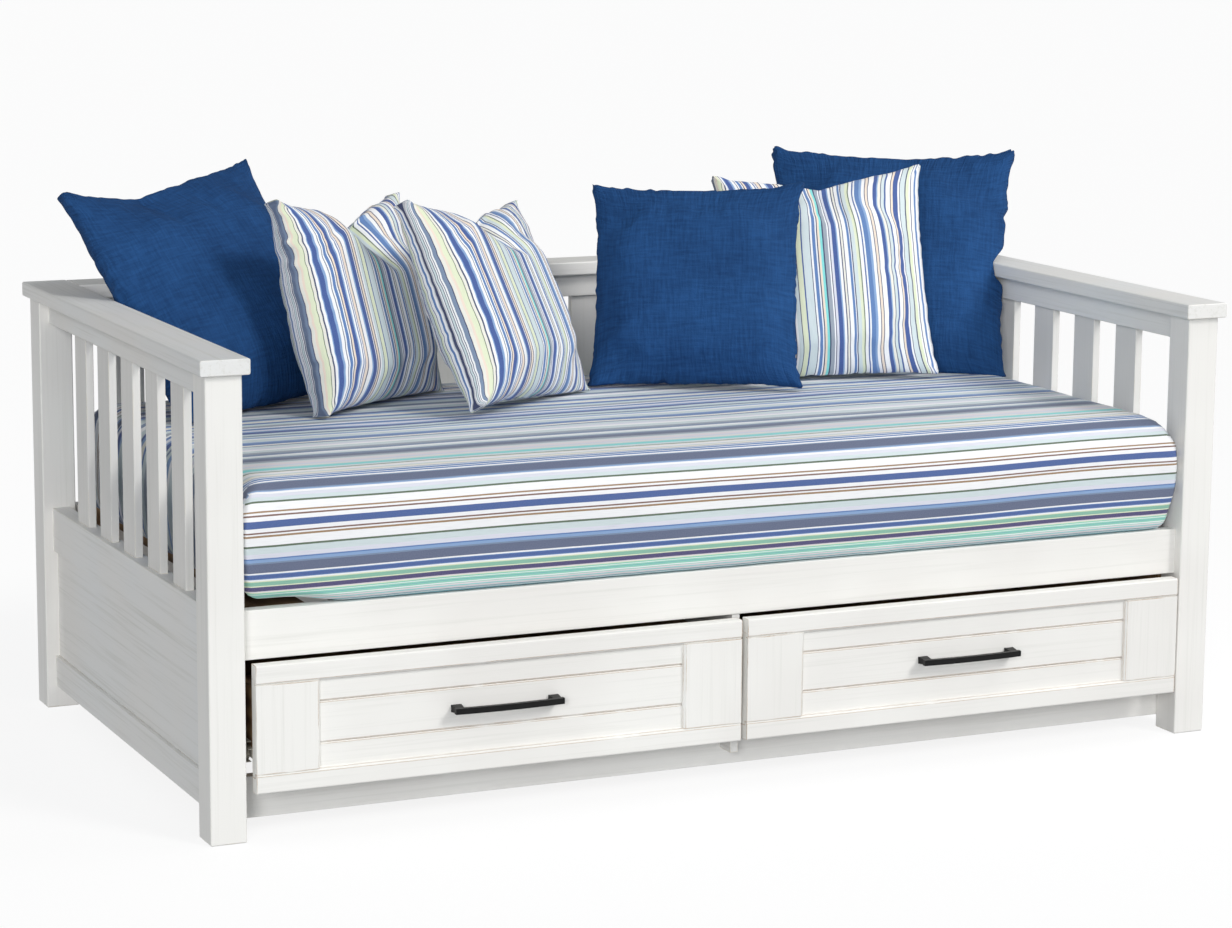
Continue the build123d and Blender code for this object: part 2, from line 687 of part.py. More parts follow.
left_handle = cut_all(handle(), handle_screw_holes(handle_hole_radius, handle_tip_y - screw_play, plank_face_y))
add_pair("left_drawer_handle", "right_drawer_handle", left_handle)
handle_screws = []
for x in handle_feet_x:
    shank = rod_y(handle_tip_y, tray_front_y, x, handle_z, handle_screw_radius)
    head = rod_y(tray_front_y, tray_front_y + handle_screw_head_height, x, handle_z, handle_screw_head_radius)
    handle_screws.append(shank.fuse(head))
add_pair("left_drawer_handle_screws", "right_drawer_handle_screws", *handle_screws)


# Mattress: sides that bulge a little between rounded edges
def rounded_outline(half_x, half_y, corner, middle_y, z):
    """A rectangle with round corners, in a level plane."""
    reach = corner * (1 - cos(radians(corner_half_angle)))
    edges = []
    spots = ((1, 1), (-1, 1), (-1, -1), (1, -1))
    for index, (sx, sy) in enumerate(spots):
        nx, ny = spots[(index + 1) % len(spots)]
        ends = [(sx * half_x, middle_y + sy * (half_y - corner), z), (sx * (half_x - corner), middle_y + sy * half_y, z)]
        next_ends = [(nx * half_x, middle_y + ny * (half_y - corner), z),
                     (nx * (half_x - corner), middle_y + ny * half_y, z)]
        if sx * sy < 0:
            ends.reverse()
        if nx * ny < 0:
            next_ends.reverse()
        edges.append(ThreePointArc(ends[0], (sx * (half_x - reach), middle_y + sy * (half_y - reach), z), ends[1]))
        edges.append(Line(ends[1], next_ends[0]))
    return Wire(edges)


mattress_middle_y = (mattress_front_y + mattress_back_y) / 2
mattress_sections = []
for height_share, inset_share in mattress_section_shares:
    inset = inset_share * mattress_corner
    mattress_sections.append(rounded_outline(mattress_length / 2 - inset, mattress_depth / 2 - inset, mattress_corner,
                                             mattress_middle_y, mattress_bottom + height_share * mattress_thickness))
mattress = Solid.make_loft(mattress_sections, ruled=True)
add("mattress", mattress)


# Pillows: a crown on both faces, sides drawn in between pointed corners, the top edge chopped in
def pillow_outline(width, height, draw, chop, corner, offset):
    """One section of a pillow, lying flat: four corners joined by arcs, at a height."""
    half_w = width / 2
    half_h = height / 2
    reach = corner * (1 - cos(radians(corner_half_angle)))
    spots = ((1, 1), (-1, 1), (-1, -1), (1, -1))
    edges = []
    for index, (sx, sz) in enumerate(spots):
        nx, nz = spots[(index + 1) % len(spots)]
        ends = [(sx * half_w, sz * (half_h - corner), offset), (sx * (half_w - corner), sz * half_h, offset)]
        next_ends = [(nx * half_w, nz * (half_h - corner), offset), (nx * (half_w - corner), nz * half_h, offset)]
        if sx * sz < 0:
            ends.reverse()
        if nx * nz < 0:
            next_ends.reverse()
        edges.append(ThreePointArc(ends[0], (sx * (half_w - reach), sz * (half_h - reach), offset), ends[1]))
        inward = chop if index == 0 else draw
        if sx == nx:
            middle = (sx * (half_w - draw), 0, offset)
        else:
            middle = (0, sz * (half_h - inward), offset)
        edges.append(ThreePointArc(ends[1], middle, next_ends[0]))
    return Wire(edges)


def pillow(width, thickness):
    """A pillow standing on its lower edge, its middle over the origin, facing -Y."""
    sections = []
    for thick_share, size_share, draw_share, corner_share in pillow_section_shares:
        side = width * size_share
        draw = width * draw_share
        chop = draw + width * pillow_chop_share * max(size_share - pillow_chop_start_share, 0)
        wire = pillow_outline(side, side, draw, chop, width * corner_share, thickness * thick_share)
        sections.append(wire)
    return Pos(0, 0, width / 2) * Rot(upright, 0, 0) * Solid.make_loft(sections, ruled=True)


# Where the middle of each pillow's lower edge stands, measured from the nearer post and from the back rail
pillow_places = (
    ("blue_pillow_left", large_pillow_width, large_pillow_thickness,
     blue_pillow_left_end - inner_half_length, blue_pillow_left_rear),
    ("striped_pillow_left", small_pillow_width, small_pillow_thickness,
     striped_pillow_left_end - inner_half_length, striped_pillow_left_rear),
    ("striped_pillow_middle", small_pillow_width, small_pillow_thickness,
     striped_pillow_middle_end - inner_half_length, striped_pillow_middle_rear),
    ("blue_pillow_centre", small_pillow_width, small_pillow_thickness,
     inner_half_length - blue_pillow_centre_end, blue_pillow_centre_rear),
    ("striped_pillow_right", small_pillow_width, small_pillow_thickness,
     inner_half_length - striped_pillow_right_end, striped_pillow_right_rear),
    ("blue_pillow_right", large_pillow_width, large_pillow_thickness,
     inner_half_length - blue_pillow_right_end, blue_pillow_right_rear))

# A leaning pillow is let down, a little less each time, until it rests on the mattress
for name, width, thickness, middle_x, rear_distance in pillow_places:
    turn, lean, roll = pillow_angles[name]
    resting = Rot(0, 0, turn) * Rot(-lean, 0, 0) * Rot(0, -roll, 0) * pillow(width, thickness)
    foot = mattress_top + soft_gap - resting.bounding_box().min.Z
    resting = Pos(middle_x, back_rail_inner_y - rear_distance, foot) * resting
    for step in range(settling_count):
        resting = Pos(0, 0, soft_gap - resting.distance_to(mattress)) * resting
    add(name, resting)

# One file for each named piece
os.makedirs("parts", exist_ok=True)
for name, solids in parts.items():
    shape = solids[0] if len(solids) == 1 else Compound(children=solids)
    export_step(shape, os.path.join("parts", name + ".step"))
print(len(parts), "pieces written")
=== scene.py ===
# %% [markdown]
# # A slatted storage daybed
# The wooden frame, the drawers and their runners come in as a finished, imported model. This lesson dresses
# it: the painted wood gets its brushed finish, and the mattress cover and the six pillows are made as real
# soft pieces. Everything is in metres, with the front towards -Y and the floor at zero.

# %% Load the frame
from math import cos, pi, radians, sin

import bpy
import numpy as np
from mathutils import Matrix, Vector, noise


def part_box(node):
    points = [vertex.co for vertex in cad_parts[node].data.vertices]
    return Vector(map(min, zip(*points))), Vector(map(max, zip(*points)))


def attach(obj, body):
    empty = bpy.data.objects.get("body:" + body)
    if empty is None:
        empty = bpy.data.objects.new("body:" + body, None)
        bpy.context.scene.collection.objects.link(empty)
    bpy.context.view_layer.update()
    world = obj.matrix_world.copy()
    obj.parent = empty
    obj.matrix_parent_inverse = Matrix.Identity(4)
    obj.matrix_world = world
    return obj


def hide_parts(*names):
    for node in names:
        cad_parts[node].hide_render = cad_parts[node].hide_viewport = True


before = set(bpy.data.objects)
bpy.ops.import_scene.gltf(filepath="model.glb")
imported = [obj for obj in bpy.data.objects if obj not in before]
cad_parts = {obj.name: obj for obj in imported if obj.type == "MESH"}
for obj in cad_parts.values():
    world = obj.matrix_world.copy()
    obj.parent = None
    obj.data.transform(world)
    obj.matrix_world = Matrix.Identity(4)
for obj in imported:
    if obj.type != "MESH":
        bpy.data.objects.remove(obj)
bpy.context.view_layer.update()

scene = bpy.context.scene
bpy.ops.object.select_all(action="DESELECT")

# %% [markdown]
# ## Camera
# The picture was taken with a long lens from the front left, a little above the caps. A long lens flattens
# the perspective, so the far arm looks almost as tall as the near one. Three angles could turn the camera,
# but their order is easy to mix up. So its own directions are worked out, to its right, up and ahead, and
# they make its matrix.

# %% Set up the camera
camera_place = (-2.8282, -6.1476, 1.7415)
turn, tilt, roll = 0.43046, -0.17788, 0.00793
lens, sensor_width, far_limit = 99.66, 36, 100

ahead = Vector((sin(turn) * cos(tilt), cos(turn) * cos(tilt), sin(tilt)))
level_right = Vector((cos(turn), -sin(turn), 0))
level_up = level_right.cross(ahead)
right = cos(roll) * level_right + sin(roll) * level_up
up = cos(roll) * level_up - sin(roll) * level_right

camera_data = bpy.data.cameras.new("camera")
camera_data.sensor_width = sensor_width
camera_data.lens = lens
camera_data.clip_end = far_limit
camera = bpy.data.objects.new("camera", camera_data)
scene.collection.objects.link(camera)
turned = Matrix((right, up, -ahead)).transposed().to_4x4()
camera.matrix_world = Matrix.Translation(camera_place) @ turned
scene.camera = camera
print("lens", camera_data.lens, "mm")

# %% [markdown]
# ## Shader sums
# A finish is mostly arithmetic on patterns: one noise times another, minus a threshold. With a node added by
# hand for each sum, the thought behind a finish gets lost, so it is written as ordinary sums. A Flow wraps
# one socket, and each operator on it adds a Math node.

# %% Flow
class Flow:
    """A number or colour that flows through a finish; sums on it add Math nodes."""

    def __init__(self, finish, socket):
        self.finish = finish
        self.socket = socket

    def math(self, operation, first, second=0.0):
        return self.finish.node("ShaderNodeMath", {"operation": operation}, {0: first, 1: second})

    def __add__(self, other):
        return self.math("ADD", self, other)

    def __sub__(self, other):
        return self.math("SUBTRACT", self, other)

    def __rsub__(self, other):
        return self.math("SUBTRACT", other, self)

    def __mul__(self, other):
        return self.math("MULTIPLY", self, other)

    def __gt__(self, other):
        return self.math("GREATER_THAN", self, other)

    def __pow__(self, other):
        return self.math("POWER", self, other)

    def __abs__(self):
        return self.math("ABSOLUTE", self)

    __radd__ = __add__
    __rmul__ = __mul__


print("sums on sockets ready")

# %% [markdown]
# ## One finish, one material
# A Finish is one material and its nodes. A single method adds any node: its settings go in first, and then
# the values or links of its sockets. The nodes that come up most get a short name each, so that a finish
# reads like a recipe.

# %% Finish
class Finish:
    """One material and its nodes."""

    def __init__(self, name):
        self.material = bpy.data.materials.new(name)
        self.material.use_nodes = True
        self.tree = self.material.node_tree
        self.shader = self.tree.nodes["Principled BSDF"]

    def node(self, kind, settings=None, inputs=None, output=0):
        made = self.tree.nodes.new(kind)
        for key, value in (settings or {}).items():
            if key == "stops":
                self.fill_ramp(made.color_ramp, value)
            else:
                setattr(made, key, value)
        for key, value in (inputs or {}).items():
            self.feed(made.inputs[key], value)
        return Flow(self, made.outputs[output])

    def fill_ramp(self, ramp, stops):
        """Steps of colour with hard borders."""
        ramp.interpolation = "CONSTANT"
        while len(ramp.elements) < len(stops):
            ramp.elements.new(1.0)
        for element, (place, colour) in zip(ramp.elements, stops):
            element.position = place
            element.color = (*colour, 1.0)

    def feed(self, socket, value):
        if isinstance(value, Flow):
            self.tree.links.new(value.socket, socket)
        else:
            socket.default_value = value

    def set(self, **values):
        for key, value in values.items():
            self.feed(self.shader.inputs[key.replace("_", " ")], value)

    def place(self):
        return self.node("ShaderNodeTexCoord", output="Object")

    def stretched(self, vector, scale):
        return self.node("ShaderNodeMapping", {}, {"Vector": vector, "Scale": scale})

    def noise(self, vector, scale=1.0, detail=2.0, roughness=0.5):
        return self.node("ShaderNodeTexNoise", {}, {
            "Vector": vector, "Scale": scale, "Detail": detail, "Roughness": roughness})

    def spread(self, value, low, high, to_low=0.0, to_high=1.0):
        """Carry low to to_low and high to to_high, and hold what lies beyond."""
        return self.node("ShaderNodeMapRange", {"clamp": True}, {
            "Value": value, "From Min": low, "From Max": high, "To Min": to_low, "To Max": to_high})

    def mix(self, share, first, second):
        return self.node("ShaderNodeMix", {"data_type": "RGBA"}, {0: share, 6: first, 7: second}, output=2)

    def bump(self, height, distance, strength):
        return self.node("ShaderNodeBump", {}, {
            "Height": height, "Distance": distance, "Strength": strength})


print("finishes ready")

# %% [markdown]
# ## Colours and pieces
# A colour is easiest to compare with a picture as its usual six-digit code, but the shader wants plain
# amounts of light, so the code is turned into those. Pieces of the frame keep their shapes and only change
# their material slots, and many of them come in pairs, named by their side.

# %% Colours, and a finish for pieces of the frame
def paint(code):
    """A colour from its usual six-digit code, as the shader wants it."""
    shares = [int(code[index:index + 2], 16) / 255 for index in (0, 2, 4)]
    return [share / 12.92 if share <= 0.04045 else ((share + 0.055) / 1.055) ** 2.4 for share in shares]


def full(code):
    return (*paint(code), 1.0)


def wear(material, *names):
    """Give one material to pieces of the frame."""
    for name in names:
        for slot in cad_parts[name].material_slots:
            slot.material = material
    print(material.name, "on", len(names), "pieces")


def paired(kind, *ends):
    """The names of matching pieces on the left and the right."""
    return [side + kind + end for side in ("left_", "right_") for end in ends]


print("pairs such as", *paired("arm_", "cap"))

# %% [markdown]
# ## White painted wood
# The frame is brushed with white paint that is thin enough to show the wood's grain as long, faint streaks
# along each board. On corners and in the joints a little brown shows where the paint was rubbed back. A photo
# of paint would repeat. Noise stretched along the board doesn't, and each board gets its own direction. The
# rubbed edges are found by comparing the true direction of the surface with one rounded over 2 mm.

# %% Brushed white paint
cloud_shade, streak_shade = "ebe9e5", "d3d3cc"
edge_radius, brush_depth = 0.0022, 0.0006


def along_grain(grain, lengthwise, crosswise):
    """Scales that stretch a pattern along the grain, which runs along one axis."""
    return [lengthwise if axis == grain else crosswise for axis in "XYZ"]


def edges(finish, radius):
    """1 on edges and corners, where the true direction leaves the rounded one."""
    rounded = finish.node("ShaderNodeBevel", {"samples": 6}, {"Radius": radius})
    true = finish.node("ShaderNodeNewGeometry", output="Normal")
    agree = finish.node("ShaderNodeVectorMath", {"operation": "DOT_PRODUCT"}, {0: rounded, 1: true},
                        output="Value")
    return finish.spread(1 - agree, 0.004, 0.05)


def white_paint(name, grain, rub, streak=0.38, shade="f3f2ee", rubbed_shade="d3c4a6"):
    """Thin white paint with streaks along the grain, and rubbed edges; rub and streak say how much."""
    finish = Finish(name)
    place = finish.place()
    along = finish.stretched(place, along_grain(grain, 1.6, 90))
    streaks = finish.noise(along, scale=1.6, detail=4, roughness=0.6)
    bristles = finish.noise(along, scale=5.0, detail=2, roughness=0.6)
    clouds = finish.noise(place, scale=3.0)
    tone = finish.mix(finish.spread(clouds, 0.35, 0.65), full(shade), full(cloud_shade))
    grey = finish.mix(finish.spread(streaks, 0.52, 0.80, 0.0, streak), tone, full(streak_shade))
    patches = finish.noise(place, scale=14, detail=3)
    patchy = finish.spread(patches, 0.62 - 0.22 * rub, 0.78 - 0.22 * rub)
    rubbed = edges(finish, edge_radius) * patchy * min(rub, 1)
    finish.set(Base_Color=finish.mix(rubbed, grey, full(rubbed_shade)),
               Roughness=finish.spread(streaks, 0.3, 0.7, 0.42, 0.55),
               Normal=finish.bump(streaks * 0.7 + bristles * 0.3, brush_depth, strength=0.55))
    return finish.material


wear(white_paint("painted_upright", "Z", rub=0.8),
     "front_left_post", "front_right_post", "rear_left_post", "rear_right_post")
# painted shade: the slats get a darker, greyer white than the posts, standing in for the shade between them
wear(white_paint("slat_paint_with_painted_shade", "Z", rub=0.8, streak=0.45, shade="dddcd9"),
     "left_arm_slats", "right_arm_slats", "back_slats")
wear(white_paint("painted_lengthwise", "X", rub=0.5), "back_cap", "back_top_rail", "back_middle_rail",
     "back_bottom_rail", "back_panel", "front_mattress_rail", "toe_kick_rail")
# painted shade: these pieces get a slightly darker, cooler white, standing in for the shade on the outer arm
wear(white_paint("crosswise_paint_with_painted_shade", "Y", rub=0.9, streak=0.75, shade="e9eae9"), "arm_panels",
     "centre_divider", *paired("arm_", "cap", "top_rail", "middle_rail", "bottom_rail"))
wear(white_paint("drawer_lengthwise", "X", rub=1.5, rubbed_shade="a98a68"),
     *paired("drawer_", "top_rail", "bottom_rail", "planks"))
wear(white_paint("drawer_upright", "Z", rub=1.0, rubbed_shade="b59a7d"), *paired("drawer_", "stiles"))

# %% [markdown]
# ## Plain wood inside
# What nobody sees is left unpainted: the boards under the mattress, their cleats, the drawer boxes and the
# boards that carry the runners. Pine has soft bands of early and late wood. Real year rings would need the
# log that each board was cut from, and a stretched wave, bent by noise, looks the same on a drawer's side.
# Both pine colours are darker than fresh pine, as painted shade for the deep gaps under the mattress.

# %% Pine
# painted shade: both pine colours are darkened to stand in for the shade in the gaps under the mattress
early_wood_in_painted_shade, late_wood_in_painted_shade, band_depth = "8d7250", "63492f", 0.0004


def pine(name, grain):
    finish = Finish(name)
    along = finish.stretched(finish.place(), along_grain(grain, 0.12, 1))
    bent = finish.noise(along, scale=6, detail=3)
    bands = finish.node("ShaderNodeTexWave", {"wave_type": "RINGS"}, {
        "Vector": along, "Scale": 9.0, "Distortion": 6.0, "Detail": 2.0})
    share = finish.spread(bands * 0.6 + bent * 0.4, 0.2, 0.8)
    finish.set(Base_Color=finish.mix(share, full(early_wood_in_painted_shade), full(late_wood_in_painted_shade)),
               Roughness=finish.spread(bent, 0.3, 0.7, 0.5, 0.65),
               Normal=finish.bump(bands, band_depth, strength=0.4))
    return finish.material


wear(pine("pine_lengthwise", "X"), "board_cleats", *paired("drawer_", "bottom"))
wear(pine("pine_crosswise", "Y"), "mattress_boards", "runner_boards", *paired("drawer_", "box_walls"))

# %% [markdown]
# ## Metal and plastic
# The handles are black powder-coated bars: powder leaves a fine orange-peel surface that breaks up the
# highlight. The runners are folded steel with a pale coating, the rollers moulded plastic, and the screws
# zinc plated. They differ in colour, gloss and the depth of their grain, so one recipe serves them all.

# %% Handles, runners and screws
dust_shade, grain_depth = "8b8b88", 0.0002


def coated(name, code, roughness, peel, metallic=0.0, gloss=0.5):
    """A coated or plated surface with a fine grain, patchy in colour where it is bare metal."""
    finish = Finish(name)
    place = finish.place()
    grain = finish.noise(place, scale=900)
    patches = finish.noise(place, scale=40)
    patchy = 0.25 if metallic else 0.012
    finish.set(Base_Color=finish.mix(finish.spread(patches, 0.3, 0.7, 0, patchy),
                                     full(code), full(dust_shade)),
               Roughness=finish.spread(grain, 0.3, 0.7, roughness - 0.06, roughness + 0.06),
               Metallic=metallic, Specular_IOR_Level=gloss,
               Normal=finish.bump(grain, grain_depth, strength=peel))
    return finish.material


wear(coated("black_handle", "040405", roughness=0.42, peel=0.5, gloss=0.22), *paired("drawer_", "handle"))
wear(coated("pale_runner", "b5b1a6", roughness=0.45, peel=0.3), "cabinet_runners",
     *paired("drawer_", "runners"))
wear(coated("roller_plastic", "a39e92", roughness=0.5, peel=0.1), *paired("front_", "rollers"),
     *paired("rear_", "rollers"))
wear(coated("zinc", "a9abad", roughness=0.35, peel=0.2, metallic=1.0), "front_rail_brackets",
     "bracket_screws", *paired("drawer_", "handle_screws"))

# %% [markdown]
# ## Striped cotton
# The stripes are woven in, so they follow the cloth wherever it bends. A pattern on the object's own
# coordinates would cut straight through a pillow, so each soft piece carries its own cloth map, in metres
# along and across the fabric, and the stripes are read from that. A colour ramp with hard steps gives one
# stripe per stop, and since a ramp holds 32 stops, a long list is cut into several ramps.

# %% Stripes from a list of widths
ramp_room = 30
cloth_colours = {
    "white": "f3f4f6", "cream": "eae8de", "lilac": "dadce8", "mist": "cfdcdf", "rose": "e3dfe3",
    "teal": "6fb0bd", "aqua": "7fdad9", "mint": "8fd3bd", "sage": "85bba5", "lime": "e0e7c8",
    "plum": "463f70", "navy": "3d5b99", "deep": "2f5196", "blue": "547bb4", "sky": "83a3ce",
    "slate": "5a6582", "dusk": "7488a5", "olive": "53664f", "brown": "7a5a4c", "tan": "9a7c58",
    "ink": "2b3762", "grey": "98a2b0", "peach": "ecdccb"}


def stripes(finish, distance, widths, start):
    """Stripes of given widths, in millimetres, by the distance across the cloth, in metres."""
    borders = [start]
    for width, _ in widths:
        borders.append(borders[-1] + width / 1000)
    colour = None
    for first in range(0, len(widths), ramp_room):
        part = widths[first:first + ramp_room]
        low, high = borders[first], borders[first + len(part)]
        stops = [((borders[first + index] - low) / (high - low), paint(cloth_colours[name]))
                 for index, (_, name) in enumerate(part)]
        ramp = finish.node("ShaderNodeValToRGB", {"stops": stops}, {0: finish.spread(distance, low, high)})
        colour = ramp if colour is None else finish.mix(distance > low, colour, ramp)
    return colour


print(len(cloth_colours), "colours of thread")

# %% [markdown]
# ## The cloth itself
# Single threads are a little lighter or darker, thicker ones run with the stripes as slubs, and no stripe is
# woven quite straight. Modelled threads would be far too many, so close up a fine bump stands for the weave.
# Where a pillow's cloth is turned in and stitched, a darker line is painted: the stitching, and painted shade
# in the seam's crease.

# %% Cotton
worn_shade, slub_shade, seam_stitch_and_painted_shade = "ffffff", "5a6272", "3a4260"
thread_depth, stripe_wander = 0.0004, 0.0015
seam_inside, seam_edge = 0.004, 0.001


def cloth_map(finish):
    """The place on the cloth, and its distances along and across, in metres."""
    place = finish.node("ShaderNodeUVMap", {"uv_map": "cloth"})
    along = finish.node("ShaderNodeSeparateXYZ", {}, {0: place})
    return place, along, Flow(finish, along.socket.node.outputs[1])


def stitch_and_seam_shade(finish, along, across, half, colour):
    """Darken the cloth where it is turned in and stitched, half a width from the middle: the stitching, and
    painted shade in the crease.
    """
    outwards = along.math("MAXIMUM", abs(along), abs(across))
    at_seam = finish.spread(outwards, half - seam_inside, half - seam_edge)
    # painted shade: the seam line darkens the cloth for the stitching and the shade in the seam's crease
    return finish.mix(at_seam * 0.45, colour, full(seam_stitch_and_painted_shade))


def cotton(name, widths, stripes_follow, start, half=None):
    """Woven stripes that change along U or V; half is the distance from a pillow's middle to its seam."""
    finish = Finish(name)
    place, along, across = cloth_map(finish)
    distance = along if stripes_follow == "U" else across
    wander = (finish.noise(place, scale=3) - 0.5) * stripe_wander
    colour = stripes(finish, distance + wander, widths, start)
    threads = finish.noise(place, scale=900, detail=1)
    slub_scale = (1200, 25, 1) if stripes_follow == "U" else (25, 1200, 1)
    slubs = finish.noise(finish.stretched(place, slub_scale))
    worn = finish.mix(finish.spread(threads, 0.35, 0.7, 0, 0.10), colour, full(worn_shade))
    shaded = finish.mix(finish.spread(slubs, 0.5, 0.8, 0, 0.18), worn, full(slub_shade))
    if half:
        shaded = stitch_and_seam_shade(finish, along, across, half, shaded)
    finish.set(Base_Color=shaded, Roughness=finish.spread(threads, 0.3, 0.7, 0.78, 0.92),
               Sheen_Weight=0.15, Sheen_Roughness=0.5, Specular_IOR_Level=0.25,
               Normal=finish.bump(threads * 0.5 + slubs * 0.5, thread_depth, strength=0.5))
    return finish.material


print("cotton ready")

# %% [markdown]
# ## The cover's stripes
# The list runs from the cover's lower front edge, up the front and back across the top. Each entry is a
# width in millimetres and a thread. The pattern is too long for a rule, so each stripe is listed. They follow
# the picture, one by one on the front and more broadly on the top, and behind the pillows the list repeats.

# %% Widths of the cover's stripes
repeat_from = 20
cover_stripes = [
    (3, "teal"), (1.5, "white"), (2, "teal"), (1.5, "rose"), (3, "rose"), (1.5, "aqua"),
    (3, "rose"), (1.5, "mint"), (2, "white"), (3, "mint"), (1, "teal"), (3, "mint"), (1, "white"),
    (2.5, "mint"), (1.5, "lime"), (2, "rose"), (8, "plum"), (2, "lime"), (7, "sage"), (2, "lime"),
    (3, "white"), (1.5, "blue"), (6, "navy"), (1.5, "blue"), (3, "white"), (16, "slate"),
    (3, "dusk"), (5, "sky"), (2.5, "blue"), (8, "lilac"), (11, "mist"), (3.5, "olive"),
    (15, "white"), (3, "tan"), (3, "white"), (3, "brown"), (7, "white"), (12, "navy"), (7, "white"),
    (3, "brown"), (3, "white"), (3, "tan"), (14, "white"), (3.5, "olive"), (8, "mist"),
    (6, "lilac"), (5, "white"), (3, "sky"), (2, "dusk"), (19, "slate"), (3, "dusk"), (4, "white"),
    (4, "blue"), (3, "white"), (4, "blue"), (3, "sky"), (3, "white"), (3, "blue"), (12, "cream"),
    (7, "mist"), (12, "white"), (6, "cream"), (5, "olive"), (10, "mist"), (3, "white"),
    (18, "aqua"), (7, "mist"), (7, "cream"), (16, "lilac"), (20, "rose"), (8, "mist"), (14, "grey"),
    (20, "slate"), (14, "dusk"), (12, "mist"), (10, "white"), (14, "dusk"), (16, "grey"),
    (22, "mist"), (10, "white"), (12, "lilac"), (16, "mist"), (6, "navy"), (12, "cream"),
    (20, "blue"), (8, "sky"), (26, "mist"), (12, "white"), (12, "sky"), (12, "mist"), (10, "dusk"),
    (18, "mist"), (16, "deep"), (8, "sky"), (16, "lilac"), (14, "blue"), (10, "white"),
    (18, "grey"), (18, "mist"), (14, "blue"), (18, "cream"), (10, "sky"), (14, "navy"),
    (22, "mist"), (20, "white"), (20, "dusk"), (30, "mist"), (12, "sky"), (16, "deep"),
    (12, "lilac")]
cover_stripes += cover_stripes[repeat_from:]
print(len(cover_stripes), "stripes in", round(sum(width for width, _ in cover_stripes)), "mm")

# %% [markdown]
# ## Points in a table
# Soft pieces are pushed into shape by code. That could be done vertex by vertex, but a mesh of tens of
# thousands of points is read much faster into one table of places, where each sum works on a whole column.
# Noise gives folds: stretched along one direction it makes long waves, and its seed makes each fold its own.

# %% Helpers for soft pieces
def points_of(piece):
    place = np.zeros(len(piece.data.vertices) * 3)
    piece.data.vertices.foreach_get("co", place)
    return place.reshape(-1, 3)


def set_points(piece, place):
    piece.data.vertices.foreach_set("co", place.astype(np.float32).ravel())
    piece.data.update()


def corner_points_of(piece):
    """The number of the point at each corner of each face."""
    numbers = np.zeros(len(piece.data.loops), dtype=int)
    piece.data.loops.foreach_get("vertex_index", numbers)
    return numbers


def map_cloth(piece, place_of_corner):
    """Store where each corner of each face lies on the flat cloth."""
    layer = piece.data.uv_layers.get("cloth") or piece.data.uv_layers.new(name="cloth")
    layer.data.foreach_set("uv", place_of_corner.astype(np.float32).ravel())


def modify(piece, kind, **settings):
    """Add a modifier and set its values."""
    modifier = piece.modifiers.new(kind.lower(), kind)
    for key, value in settings.items():
        setattr(modifier, key, value)


def apply_all(piece):
    bpy.context.view_layer.objects.active = piece
    for modifier in list(piece.modifiers):
        bpy.ops.object.modifier_apply(modifier=modifier.name)


def ease(value, low, high):
    """0 up to low and 1 from high, with a soft start and end between."""
    share = np.clip((value - low) / (high - low), 0, 1)
    return share * share * (3 - 2 * share)


def near_edge(distance, half, band):
    """1 at the edge of a piece, falling to 0 inside a band along it."""
    return ease(abs(distance), half - band, half)


def ripple(place, scale, seed, detail=2):
    """Soft noise at each point, between about -1 and 1."""
    shift = Vector((seed * 7.3, seed * 3.1, seed * 5.7))
    return np.array([noise.fractal(Vector(point) + shift, 1.0, 2.0, detail)
                     for point in place * np.array(scale)])


print("helpers for soft pieces ready")

# %% [markdown]
# ## The mattress in its fitted cover
# A twin mattress is a soft block: its long sides bulge a little, its edges are rounded by the cover's
# elastic, and the top is almost flat. It starts as a cube whose edges are bevelled by their own weights, the
# top ones most, and is remeshed evenly, because a bevelled cube has points only at its edges and can't bend.

# %% Mattress block
front_over = 0.015
edge_round = 0.070
even_size = 0.010
mattress_low, mattress_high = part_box("mattress")
mattress_low.y -= front_over
middle = (mattress_low + mattress_high) / 2
size = mattress_high - mattress_low


def round_share(first, second):
    """How round the edge between two corners is: the top ones most, and the upright ones least."""
    at_top = min(first.z, second.z) > 0
    if first.x * second.x < 0:
        return 1.0 if at_top else 0.25
    if first.y * second.y < 0:
        return 0.6 if at_top else 0.4
    return 0.25


bpy.ops.mesh.primitive_cube_add(size=1, location=middle, scale=size)
mattress = bpy.context.object
mattress.name = "mattress_cover"
bpy.ops.object.transform_apply(location=True, rotation=True, scale=True)
weights = mattress.data.attributes.new("bevel_weight_edge", "FLOAT", "EDGE")
for edge in mattress.data.edges:
    corners = [mattress.data.vertices[index].co - middle for index in edge.vertices]
    weights.data[edge.index].value = round_share(*corners)
modify(mattress, "BEVEL", limit_method="WEIGHT", width=edge_round, segments=6)
modify(mattress, "REMESH", mode="VOXEL", voxel_size=even_size)
apply_all(mattress)
print(len(mattress.data.vertices), "points in the mattress")

# %% [markdown]
# ## Crown and bulge
# The filling presses outwards, so the sides belly out halfway up and the top rises a little in the middle.
# Proportional editing by hand would do it too, but a formula keeps both ends alike. Each push is a size times
# a few shares between 0 and 1, which say how near a point is to the top, a side or an end.

# %% Push the mattress into shape
crown_rise, end_bulge, side_bulge = 0.002, 0.016, 0.006
top_share = 0.75

